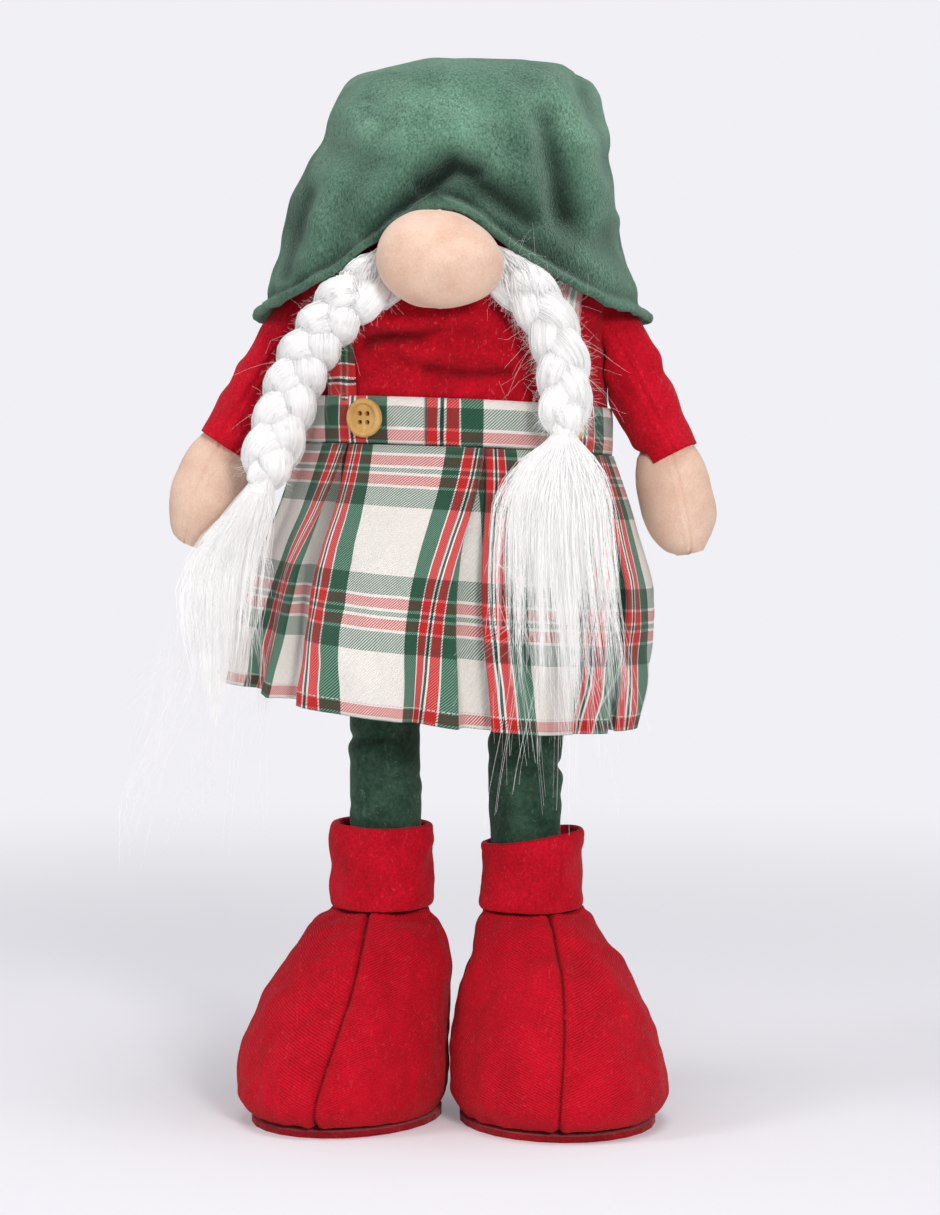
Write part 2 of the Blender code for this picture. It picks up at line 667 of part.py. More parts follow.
def make_tie_and_tassel(side):
    _, points, course = route_points(PLAIT_ROUTES[side], PLAIT_STEP)
    end, way = Vector(points[-1]), Vector(course[-1])
    tie = mesh_from(f"{side}_braid_tie", torus, TIE_RADIUS, TIE_WIRE, *TIE_STEPS)
    turn = way.to_track_quat("Z", "X").to_matrix().to_4x4()
    tie.transform(Matrix.Translation(end + TIE_DROP * way) @ turn)
    add_piece(f"{side}_braid_tie", tie, "white_hair")

    neck = TIE_RADIUS - TIE_WIRE - SEAT_GAP
    sections = [(*(end + down * way), neck, neck) for down in (SEAT_GAP, 2 * TIE_DROP)]
    sections += TASSELS[side]
    rows = []
    for x, y, z, half_width, half_depth in through(sections, TASSEL_ROWS):
        turns = angles(2 * TASSEL_FLUTES)
        fullness = min(1.0, max(0.0, half_width / neck - 1.0))
        ridge = 1.0 + TASSEL_FLUTE_SHARE * fullness * np.cos(TASSEL_FLUTES * turns)
        xs, ys = ring(turns, half_width, half_depth)
        rows.append(stack(x + xs * ridge, y + ys * ridge, z))
    rows[0] = neck_ring(end + SEAT_GAP * way, way, neck)
    rows.reverse()
    add_piece(f"{side}_tassel", loft(f"{side}_tassel", rows), "white_hair")


def neck_ring(middle, way, radius):
    """The flat top of a tassel, square to the plait that ends there."""
    side, front = plait_frame(way)
    turns = angles(2 * TASSEL_FLUTES)[:, None]
    return np.array(middle) + radius * (np.sin(turns) * -np.array(side) - np.cos(turns) * -np.array(front))


def torus(shape, radius, wire, steps, wire_steps):
    """A ring of round section about Z, spun from one circle."""
    place = Matrix.Translation((radius, 0.0, 0.0)) @ Matrix.Rotation(math.pi / 2, 4, "X")
    made = bmesh.ops.create_circle(shape, segments=wire_steps, radius=wire, matrix=place)
    edges = list({edge for vert in made["verts"] for edge in vert.link_edges})
    bmesh.ops.spin(
        shape, geom=edges, cent=(0.0, 0.0, 0.0), axis=(0.0, 0.0, 1.0),
        angle=2 * math.pi, steps=steps, use_merge=True,
    )
    bmesh.ops.remove_doubles(shape, verts=shape.verts, dist=0.00001)
    bmesh.ops.recalc_face_normals(shape, faces=shape.faces)


# Dress


def band_top(x, y):
    return BAND_TOP_Z + BAND_LEAN_X * x + BAND_LEAN_Y * y


def band_half(out=0.0):
    """Half width and half depth of the waistband's inside, moved out by a distance."""
    return tuple(half + BAND_FIT + out for half in torso_half(BAND_TOP_Z))


def make_waistband():
    xs, ys = ring(angles(BAND_STEPS), *band_half(BAND_CLOTH))
    top = band_top(xs, ys)
    rows = [stack(xs, ys, top - BAND_HEIGHT), stack(xs, ys, top)]
    mesh = loft("waistband", rows, close_start=False, close_end=False)
    band = add_piece("waistband", mesh, "checked_cotton")
    wall = band.modifiers.new("cloth", "SOLIDIFY")
    wall.thickness = BAND_CLOTH
    wall.offset = -1.0


def pleat_shape(turns):
    """1 in the fold of each pleat, falling to 0 and then below it where the cloth stands out."""
    pitch = 360.0 / PLEATS
    away = (np.degrees(turns) - PLEAT_START + pitch / 2) % pitch - pitch / 2
    fold = np.exp(-((away / PLEAT_WIDTH) ** 2))
    crest = np.exp(-(((np.abs(away) - 2 * PLEAT_WIDTH) / PLEAT_WIDTH) ** 2))
    return fold - PLEAT_CREST * crest


def skirt_rows():
    turns = angles(PLEATS * PLEAT_STEPS, PLEAT_START)
    rows = []
    for share, x, half_width, half_depth in through(SKIRT_SECTIONS, SKIRT_ROWS):
        depth = PLEAT_DEPTH_TOP + (PLEAT_DEPTH_HEM - PLEAT_DEPTH_TOP) * share
        inward = depth * pleat_shape(turns)
        xs, ys = ring(turns, half_width - inward, half_depth - inward, x)
        top = band_top(xs, ys) - BAND_HEIGHT - SEAT_GAP
        hem = HEM_Z + HEM_LEAN_X * np.sin(turns) + HEM_LEAN_Y * np.cos(turns)
        rows.append(stack(xs, ys, top + share * (hem - top)))
    rows.reverse()
    return rows


def make_skirt():
    mesh = loft("skirt", skirt_rows(), close_start=False, close_end=False)
    skirt = add_piece("skirt", mesh, "checked_cotton")
    wall = skirt.modifiers.new("cloth", "SOLIDIFY")
    wall.thickness = SKIRT_CLOTH
    wall.offset = -1.0


def strap_route(side, sign):
    """The strap's middle as angles and heights, with both ends on top of the waistband."""
    course = STRAP_FRONTS[side] + STRAP_BACK
    knots = [(math.radians(sign * turn), height) for turn, height in course]
    feet = []
    for turn in STRAP_FEET[side]:
        turn = math.radians(sign * turn)
        foot = on_torso(turn, BAND_TOP_Z, BAND_FIT + BAND_CLOTH)
        feet.append((turn, band_top(foot.x, foot.y) + SEAT_GAP))
    return through([feet[0], *knots, feet[1]], STRAP_STEPS + 1)


def make_straps():
    for side, sign in SIDES.items():
        route = strap_route(side, sign)
        middles = [on_torso(turn, height) for turn, height in route]
        rows = []
        for place, (turn, height) in enumerate(route):
            before, after = middles[max(place - 1, 0)], middles[min(place + 1, STRAP_STEPS)]
            out = (on_torso(turn, height, 1.0) - middles[place]).normalized()
            edge = (after - before).cross(out).normalized() * STRAP_WIDTH / 2
            row = []
            for across, lift in ((1, 0), (0, 0), (-1, 0), (-1, 1), (0, 1), (1, 1)):
                spot = middles[place] + across * edge
                spot_turn = math.atan2(spot.x / torso_half(spot.z)[0], -spot.y / torso_half(spot.z)[1])
                corner = on_torso(spot_turn, spot.z, STRAP_FIT + lift * STRAP_CLOTH)
                if place in (0, STRAP_STEPS):
                    corner.z = band_top(corner.x, corner.y) + SEAT_GAP
                row.append(tuple(corner))
            rows.append(row)
        add_piece(f"{side}_strap", loft(f"{side}_strap", rows), "checked_cotton")


def button_profile():
    """Half section of a dished button with a raised rim, from its top middle down the outside."""
    dish = BUTTON_HEIGHT - BUTTON_DISH
    return [
        (0.0, dish),
        (BUTTON_RADIUS - BUTTON_RIM - BUTTON_SLOPE, dish),
        (BUTTON_RADIUS - BUTTON_RIM, BUTTON_HEIGHT),
        (BUTTON_RADIUS - BUTTON_EDGE, BUTTON_HEIGHT),
        (BUTTON_RADIUS, BUTTON_HEIGHT - BUTTON_EDGE),
        (BUTTON_RADIUS, BUTTON_SLOPE),
        (BUTTON_RADIUS - BUTTON_SLOPE, 0.0),
        (0.0, 0.0),
    ]


def add_turned(name, profile, material, steps):
    """A piece whose half section is turned about Z."""
    mesh = bpy.data.meshes.new(name)
    edges = [(spot, spot + 1) for spot in range(len(profile) - 1)]
    mesh.from_pydata([(x, 0.0, z) for x, z in profile], edges, [])
    piece = add_piece(name, mesh, material)
    screw = piece.modifiers.new("turn", "SCREW")
    screw.steps = steps
    screw.render_steps = steps
    screw.use_merge_vertices = True
    screw.merge_threshold = 0.00001
    screw.use_smooth_shade = True
    return piece


def make_buttons():
    for side in SIDES:
        half_width, half_depth = band_half(BAND_CLOTH)
        turn = math.asin(BUTTON_X[side] / half_width)
        spot = Vector((half_width * math.sin(turn), -half_depth * math.cos(turn), 0.0))
        normal = Vector((math.sin(turn) * half_depth, -math.cos(turn) * half_width, 0.0)).normalized()
        spot.z = band_top(spot.x, spot.y) - BUTTON_BELOW_BAND_TOP
        button = add_turned(f"{side}_button", button_profile(), "button_wood", BUTTON_STEPS)
        button.location = spot + normal * BUTTON_STAND_OFF
        button.rotation_euler = normal.to_track_quat("Z", "Y").to_euler()
        holes = add_cutter(f"{side}_button_holes", mesh_from("button_holes", button_holes))
        holes.location, holes.rotation_euler = button.location, button.rotation_euler
        cut(button, holes)


def button_holes(shape):
    for across in (-1, 1):
        for up in (-1, 1):
            place = Matrix.Translation(
                (across * BUTTON_HOLE_PITCH, up * BUTTON_HOLE_PITCH, BUTTON_HEIGHT / 2)
            )
            bmesh.ops.create_cone(
                shape, cap_ends=True, segments=6, radius1=BUTTON_HOLE_RADIUS,
                radius2=BUTTON_HOLE_RADIUS, depth=2 * BUTTON_HEIGHT, matrix=place,
            )


# Legs, boots and what is inside them


def make_legs():
    low, high = BOOT_TOP_Z + SEAT_GAP, TORSO_SECTIONS[0][0] - SEAT_GAP
    bore = DOWEL_RADIUS + DOWEL_FIT
    outside = []
    for place in range(2 * LEG_CREASES + 1):
        height = high + (low - high) * place / (2 * LEG_CREASES)
        outside.append((LEG_RADIUS - LEG_CREASE * (place % 2), height))
    profile = [(bore, high), *outside, (bore, low), (bore, high)]
    for side, sign in SIDES.items():
        leg = add_turned(f"{side}_leg", profile, "green_felt", LEG_STEPS)
        leg.location.x = sign * LEG_X
        dowel_low = BOOT_TOP_Z - DOWEL_IN_BOOT
        dowel_high = TORSO_SECTIONS[0][0] + DOWEL_IN_BODY
        mesh = cylinder(f"{side}_leg_dowel", DOWEL_RADIUS, dowel_low, dowel_high, sign * LEG_X, DOWEL_STEPS)
        add_piece(f"{side}_leg_dowel", mesh, "dowel_wood")


def boot_ring(side, section, grow=0.0):
    """One section of a boot, turned out at the toe."""
    share, x, y, half_width, half_length = section
    toe_out = math.radians(BOOT_TOE_OUT)
    turns = angles(BOOT_STEPS)
    across, along = ring(turns, half_width + grow, half_length + grow)
    xs = x + across * math.cos(toe_out) - along * math.sin(toe_out)
    ys = y + across * math.sin(toe_out) + along * math.cos(toe_out)
    low = SOLE_THICKNESS + SEAT_GAP
    points = stack(xs, ys, low + share * (BOOT_TOP_Z - low))
    if SIDES[side] == LEFT:
        points[:, 0] *= -1
        points = points[::-1]
    return points


def in_boot(side, half_width, half_length, low, high):
    """Places a unit shape in a boot, level and in line with its toe."""
    sign = SIDES[side]
    _, x, y, _, _ = BOOT_SECTIONS[side][1]
    return (
        Matrix.Translation((sign * x, y, (low + high) / 2))
        @ Matrix.Rotation(sign * math.radians(BOOT_TOE_OUT), 4, "Z")
        @ Matrix.Diagonal((half_width, half_length, (high - low) / 2, 1.0))
    )


def make_boots():
    for side, sign in SIDES.items():
        rows = [boot_ring(side, section) for section in through(BOOT_SECTIONS[side], BOOT_ROWS)]
        boot = add_piece(f"{side}_boot", loft(f"{side}_boot", rows), "red_felt")
        socket = cylinder(
            f"{side}_boot_socket", DOWEL_RADIUS + DOWEL_FIT, BOOT_TOP_Z - DOWEL_IN_BOOT - DOWEL_FIT,
            BOOT_TOP_Z + SEAT_GAP, sign * LEG_X,
        )
        cut(boot, add_cutter(f"{side}_boot_socket", socket))
        make_ballast(side, boot)
        make_sole(side)
        make_cuff(side)


def make_ballast(side, boot):
    """A pellet bag on the sole, in a pocket of the boot's filling."""
    half_width, half_length = POUCH_HALF
    low = SOLE_THICKNESS + SEAT_GAP
    place = in_boot(side, half_width, half_length, low, low + POUCH_HEIGHT)
    pouch = mesh_from(
        f"{side}_ballast_pouch", bmesh.ops.create_uvsphere, u_segments=POUCH_STEPS[0],
        v_segments=POUCH_STEPS[1], radius=1.0, matrix=place,
    )
    add_piece(f"{side}_ballast_pouch", pouch, "pellet_bag")
    top = low + POUCH_HEIGHT + POUCH_FIT
    place = in_boot(side, half_width + POUCH_FIT, half_length + POUCH_FIT, 2 * low - top, top)
    pocket = mesh_from(
        f"{side}_boot_pocket", bmesh.ops.create_cone, cap_ends=True, segments=POCKET_STEPS,
        radius1=1.0, radius2=1.0, depth=2.0, matrix=place,
    )
    cut(boot, add_cutter(f"{side}_boot_pocket", pocket))


def make_sole(side):
    outline = boot_ring(side, BOOT_SECTIONS[side][0], SOLE_EDGE)
    curve = bpy.data.curves.new(f"{side}_sole", "CURVE")
    curve.dimensions = "2D"
    curve.fill_mode = "BOTH"
    curve.extrude = SOLE_THICKNESS / 2
    line = curve.splines.new("POLY")
    line.points.add(len(outline) - 1)
    for spot, point in zip(line.points, outline):
        spot.co = (point[0], point[1], 0.0, 1.0)
    line.use_cyclic_u = True
    curve.materials.append(MATERIALS["sole_felt"])
    sole = bpy.data.objects.new(f"{side}_sole", curve)
    sole.location.z = SOLE_THICKNESS / 2
    sole.parent = STAND
    PARTS.objects.link(sole)


def make_cuff(side):
    height = CUFF_HEIGHTS[side]
    bottom = CUFF_BOTTOM_RADIUS
    top = CUFF_TOP_RADIUS
    rounding = CUFF_FELT / 3
    profile = [
        (top - CUFF_FELT, height - rounding),
        (top - CUFF_FELT + rounding, height),
        (top - rounding, height),
        (top, height - rounding),
        (bottom, CUFF_FELT),
        (bottom - rounding, 0.0),
        (bottom - CUFF_FELT, 0.0),
        (top - CUFF_FELT, height - rounding),
    ]
    cuff = add_turned(f"{side}_boot_cuff", profile, "red_felt", CUFF_STEPS)
    cuff.location = (SIDES[side] * BOOT_SECTIONS[side][-1][1], 0.0, BOOT_TOP_Z + SEAT_GAP)


def main():
    make_torso()
    seat = torso_clearance()
    make_hat(seat)
    make_nose(seat)
    make_arms(seat)
    make_plaits(seat)
    make_waistband()
    make_skirt()
    make_straps()
    make_buttons()
    make_legs()
    make_boots()


main()
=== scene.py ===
"""Looks of the christmas gnome figure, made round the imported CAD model. Metres, +Z up, front at -Y.

Positions in the tables are in millimetres from the middle of the feet, as in the part's source, and
world() moves them to the row frame. Angles round the body run from the front towards +X.
"""

import math

import bpy
import numpy as np
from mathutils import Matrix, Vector
from mathutils.bvhtree import BVHTree

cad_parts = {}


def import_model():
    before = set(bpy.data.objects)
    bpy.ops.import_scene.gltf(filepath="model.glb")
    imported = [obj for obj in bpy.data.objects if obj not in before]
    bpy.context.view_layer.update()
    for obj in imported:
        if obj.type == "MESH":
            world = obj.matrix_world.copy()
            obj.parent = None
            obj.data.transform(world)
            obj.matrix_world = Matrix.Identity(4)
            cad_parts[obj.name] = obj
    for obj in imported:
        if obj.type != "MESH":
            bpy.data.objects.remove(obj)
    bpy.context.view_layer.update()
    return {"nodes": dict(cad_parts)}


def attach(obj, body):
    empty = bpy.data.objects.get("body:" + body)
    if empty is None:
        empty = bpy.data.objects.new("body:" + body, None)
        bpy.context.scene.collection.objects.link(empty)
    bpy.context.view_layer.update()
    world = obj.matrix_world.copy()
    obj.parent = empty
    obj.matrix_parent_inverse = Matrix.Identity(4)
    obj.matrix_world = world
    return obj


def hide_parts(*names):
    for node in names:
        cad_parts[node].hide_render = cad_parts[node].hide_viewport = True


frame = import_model()
NODES = frame["nodes"]

MM = 0.001
STANCE = np.array((5.6, 0.4, 0.0))
SIDES = {"left": -1, "right": 1}
RANDOM = np.random.default_rng(25)

# Camera and lights

CAMERA_PLACE = (0.1625, -1.7928, 0.390)
CAMERA_AIM = (0.0126, 0.0004, 0.240)
FIELD_OF_VIEW = math.radians(18.1)  # along the long side of the frame


def aim(thing, place, target):
    thing.location = place
    way = Vector(target) - Vector(place)
    thing.rotation_euler = way.to_track_quat("-Z", "Y").to_euler()


def link(thing):
    bpy.context.scene.collection.objects.link(thing)
    return thing


def make_camera():
    data = bpy.data.cameras.new("camera")
    data.lens = data.sensor_width / 2 / math.tan(FIELD_OF_VIEW / 2)
    data.clip_end = 20.0
    camera = link(bpy.data.objects.new("camera", data))
    aim(camera, CAMERA_PLACE, CAMERA_AIM)
    bpy.context.scene.camera = camera


LAMP_AIM = (0.0, 0.0, 0.25)
SKY_LIGHT = 0.34
SKY_COLOUR = (0.95, 0.955, 1.0)
BACKDROP = (0.880, 0.871, 0.913)  # the pale background, as the camera and reflections see it


def lamp(name, place, size, power, colour=(1.0, 1.0, 1.0)):
    data = bpy.data.lights.new(name, "AREA")
    data.shape = "DISK"
    data.size = size
    data.energy = power
    data.color = colour
    aim(link(bpy.data.objects.new(name, data)), place, LAMP_AIM)


def seen_rays(tree):
    """One for the rays that show a surface or background, nought for those that light others."""
    rays = tree.nodes.new("ShaderNodeLightPath")
    seen = rays.outputs["Is Camera Ray"]
    for name in ("Is Glossy Ray", "Is Transmission Ray"):
        either = tree.nodes.new("ShaderNodeMath")
        either.operation = "MAXIMUM"
        tree.links.new(seen, either.inputs[0])
        tree.links.new(rays.outputs[name], either.inputs[1])
        seen = either.outputs[0]
    return seen


def make_lights():
    lamp("right_key", (0.85, -1.95, 0.95), 0.50, 25.0, (1.0, 0.99, 0.975))
    lamp("left_key", (-1.5, -0.75, 1.25), 0.6, 9.5)
    lamp("front_fill", (-0.4, -2.2, 0.7), 1.6, 2.5)
    lamp("top", (0.15, -0.35, 2.1), 1.2, 17.0)


def make_sky():
    """Soft light from all round, with the plain backdrop for the rays that show it."""
    sky = bpy.data.worlds.new("studio")
    sky.use_nodes = True
    background = sky.node_tree.nodes["Background"]
    background.inputs["Color"].default_value = (*SKY_COLOUR, 1.0)
    background.inputs["Strength"].default_value = SKY_LIGHT
    shown = sky.node_tree.nodes.new("ShaderNodeBackground")
    shown.inputs["Color"].default_value = (*BACKDROP, 1.0)
    mixed = sky.node_tree.nodes.new("ShaderNodeMixShader")
    links = sky.node_tree.links
    links.new(seen_rays(sky.node_tree), mixed.inputs[0])
    links.new(background.outputs[0], mixed.inputs[1])
    links.new(shown.outputs[0], mixed.inputs[2])
    links.new(mixed.outputs[0], sky.node_tree.nodes["World Output"].inputs["Surface"])
    bpy.context.scene.world = sky


# Meshes


def world(points):
    """Millimetres from the middle of the feet to metres in the row frame."""
    return (np.asarray(points, float) + STANCE) * MM


def circle(count):
    """Angles once round, without the last that falls on the first."""
    return np.linspace(0.0, 2 * math.pi, count, endpoint=False)


def unit(vectors):
    return vectors / np.maximum(np.linalg.norm(vectors, axis=-1, keepdims=True), 1e-9)


def mesh_piece(name, points, faces, uvs=None, material=None):
    """A piece from points in metres, faces of one size, and a UV for each corner of each face."""
    faces = np.asarray(faces, np.int32)
    mesh = bpy.data.meshes.new(name)
    mesh.vertices.add(len(points))
    mesh.vertices.foreach_set("co", np.asarray(points, np.float32).ravel())
    mesh.loops.add(faces.size)
    mesh.loops.foreach_set("vertex_index", faces.ravel())
    mesh.polygons.add(len(faces))
    mesh.polygons.foreach_set("loop_start", np.arange(0, faces.size, faces.shape[1], dtype=np.int32))
    if uvs is not None:
        layer = mesh.uv_layers.new(name="UVMap")
        layer.data.foreach_set("uv", np.asarray(uvs, np.float32).ravel())
    mesh.update(calc_edges=True)
    mesh.validate()
    mesh.shade_smooth()
    piece = link(bpy.data.objects.new(name, mesh))
    if material:
        mesh.materials.append(material)
    return piece


def grid_faces(rows, columns, around=False, closed=False):
    """Faces of a grid of points, joined up round its columns and, if closed, from last row to first."""
    row_count = rows if closed else rows - 1
    column_count = columns if around else columns - 1
    row, column = np.meshgrid(np.arange(row_count), np.arange(column_count), indexing="ij")
    above, beside = (row + 1) % rows, (column + 1) % columns
    corners = [(row, column), (row, beside), (above, beside), (above, column)]
    return np.stack([(r * columns + c).ravel() for r, c in corners], axis=1)


def grid_uvs(us, vs):
    """A UV for each face corner, where us and vs run on past the last column and row if they join up."""
    low, left = np.meshgrid(vs[:-1], us[:-1], indexing="ij")
    high, right = np.meshgrid(vs[1:], us[1:], indexing="ij")
    return np.stack([left, low, right, low, right, high, left, high], axis=-1).reshape(-1, 2)


def grid_piece(name, grid, material, us=None, vs=None, closed=False):
    """A piece from rings of points in millimetres, which closed joins from the last to the first."""
    faces = grid_faces(*grid.shape[:2], around=True, closed=closed)
    uvs = None if us is None else grid_uvs(np.asarray(us) * MM, np.asarray(vs) * MM)
    return mesh_piece(name, world(grid.reshape(-1, 3)), faces, uvs, material)


def closed_rings(grid):
    """Points and triangles of a tube of rings, closed at both ends by a middle point."""
    rows, columns = grid.shape[:2]
    quads = grid_faces(rows, columns, around=True)
    faces = np.concatenate([quads[:, [0, 1, 2]], quads[:, [0, 2, 3]]])
    points = np.concatenate([grid.reshape(-1, 3), [grid[0].mean(axis=0), grid[-1].mean(axis=0)]])
    first, last = rows * columns, rows * columns + 1
    spots = np.arange(columns)
    after = (spots + 1) % columns
    low = np.stack([np.full(columns, first), after, spots], axis=1)
    top = (rows - 1) * columns
    high = np.stack([np.full(columns, last), top + spots, top + after], axis=1)
    return points, np.concatenate([faces, low, high])


def closed_piece(name, grid, material):
    """A closed piece round rings of points in millimetres."""
    points, faces = closed_rings(grid)
    return mesh_piece(name, world(points), faces, material=material)


def apply_modifiers(piece, material=None):
    """Leaves the piece with the mesh that its modifiers make, all in one material if one is given."""
    bpy.context.view_layer.update()
    graph = bpy.context.evaluated_depsgraph_get()
    made = bpy.data.meshes.new_from_object(piece.evaluated_get(graph))
    piece.modifiers.clear()
    piece.data = made
    made.shade_smooth()
    if material:
        made.materials.clear()
        made.materials.append(material)


def points_of(piece):
    """Positions and normals of a piece's vertices, in millimetres from the middle of the feet."""
    mesh = piece.data
    spots, ways = np.zeros(len(mesh.vertices) * 3), np.zeros(len(mesh.vertices) * 3)
    mesh.vertices.foreach_get("co", spots)
    mesh.vertices.foreach_get("normal", ways)
    return spots.reshape(-1, 3) / MM - STANCE, ways.reshape(-1, 3)


def through(knots, places):
    """Values at places, counted in knots, on the smooth (Catmull-Rom) curve through the knots."""
    knots = np.asarray(knots, float)
    ends = np.concatenate([[2 * knots[0] - knots[1]], knots, [2 * knots[-1] - knots[-2]]])
    places = np.asarray(places, float)
    start = np.clip(places.astype(int), 0, len(knots) - 2)
    t = (places - start).reshape(-1, *[1] * (knots.ndim - 1))
    a, b, c, d = (ends[start + knot] for knot in range(4))
    return b + 0.5 * t * (c - a + t * (2 * a - 5 * b + 4 * c - d + t * (3 * b - a - 3 * c + d)))


def evenly(knots, count):
    return through(knots, np.linspace(0.0, len(knots) - 1, count))


def ripple(points, size, seed, waves=14):
    """Smooth random values of about -1 to 1 at the points, with bumps of about this size."""
    source = np.random.default_rng(seed)
    ways = source.normal(size=(waves, points.shape[-1]))
    ways /= np.linalg.norm(ways, axis=1, keepdims=True)
    ways *= 2 * math.pi / size * source.uniform(0.6, 1.5, (waves, 1))
    starts = source.uniform(0.0, 2 * math.pi, waves)
    return np.sin(points @ ways.T + starts).sum(axis=-1) * math.sqrt(2.0 / waves) * 0.7


def bell(values, middle, width):
    return np.exp(-(((values - middle) / width) ** 2))


def step(values, low, high):
    share = np.clip((values - low) / (high - low), 0.0, 1.0)
    return share * share * (3 - 2 * share)


def normals_of(grid):
    """Outward normals of rings of points that rise and whose columns go anticlockwise."""
    across = np.roll(grid, -1, axis=1) - np.roll(grid, 1, axis=1)
    return unit(np.cross(across, np.gradient(grid, axis=0)))


def blur(grid, times):
    """Evens out rings of points, all but the first and last ring."""
    for _ in range(times):
        grid = (np.roll(grid, 1, axis=1) + 2 * grid + np.roll(grid, -1, axis=1)) / 4
        inner = (grid[:-2] + 2 * grid[1:-1] + grid[2:]) / 4
        grid = np.concatenate([grid[:1], inner, grid[-1:]])
    return grid


RAY_LENGTH = 400.0  # from outside the whole figure to the line in the middle of a node


def wrapped(node, start, end, rows, columns, spread=1.0, longer=0.0):
    """Rings of points on the outside of a CAD node, along the line from start to end in millimetres.

    They run over the whole length of the node and, in millimetres, a little longer at its end.
    """
    mesh = NODES[node].data
    tree = BVHTree.FromPolygons([v.co for v in mesh.vertices], [p.vertices for p in mesh.polygons])
    start = np.array(start, float)
    way = unit(np.array(end, float) - start)
    places = (points_of(NODES[node])[0] - start) @ way
    low, high = places.min() + 0.2, places.max() - 0.2
    front = np.array((0.0, -1.0, 0.0))
    front = unit(front - (front @ way) * way)
    side = np.cross(front, way)
    shares = np.linspace(-1.0, 1.0, rows)
    shares = 0.5 + 0.5 * np.sign(shares) * (1 - (1 - np.abs(shares)) ** spread)
    turns = circle(columns)
    out = np.cos(turns)[:, None] * front + np.sin(turns)[:, None] * side
    reach = np.full((rows, columns), np.nan)
    for row, share in enumerate(shares):
        middle = start + (low + share * (high - low)) * way
        for column, direction in enumerate(out):
            origin = Vector(world(middle + RAY_LENGTH * direction))
            hit = tree.ray_cast(origin, Vector(-direction), RAY_LENGTH * MM)[0]
            if hit is not None:
                reach[row, column] = np.linalg.norm(np.array(hit) / MM - STANCE - middle)
    found = ~np.isnan(reach)
    for column in range(columns):
        rows_hit = np.flatnonzero(found[:, column])
        reach[:, column] = np.interp(np.arange(rows), rows_hit, reach[rows_hit, column])
    middles = start + (low + shares * (high + longer - low))[:, None] * way
    return middles[:, None] + reach[:, :, None] * out, shares, turns


# Materials

HAT_TOP_LIT_FROM, HAT_TOP_LIT_TO = 0.425, 0.485  # heights between which painted light makes the pile paler towards the top
PAINTED_LIGHT_AND_SHADE = "fold_tone"  # vertex attribute of painted light and shade: -1 in the deepest hollows, 1 on the highest ridges
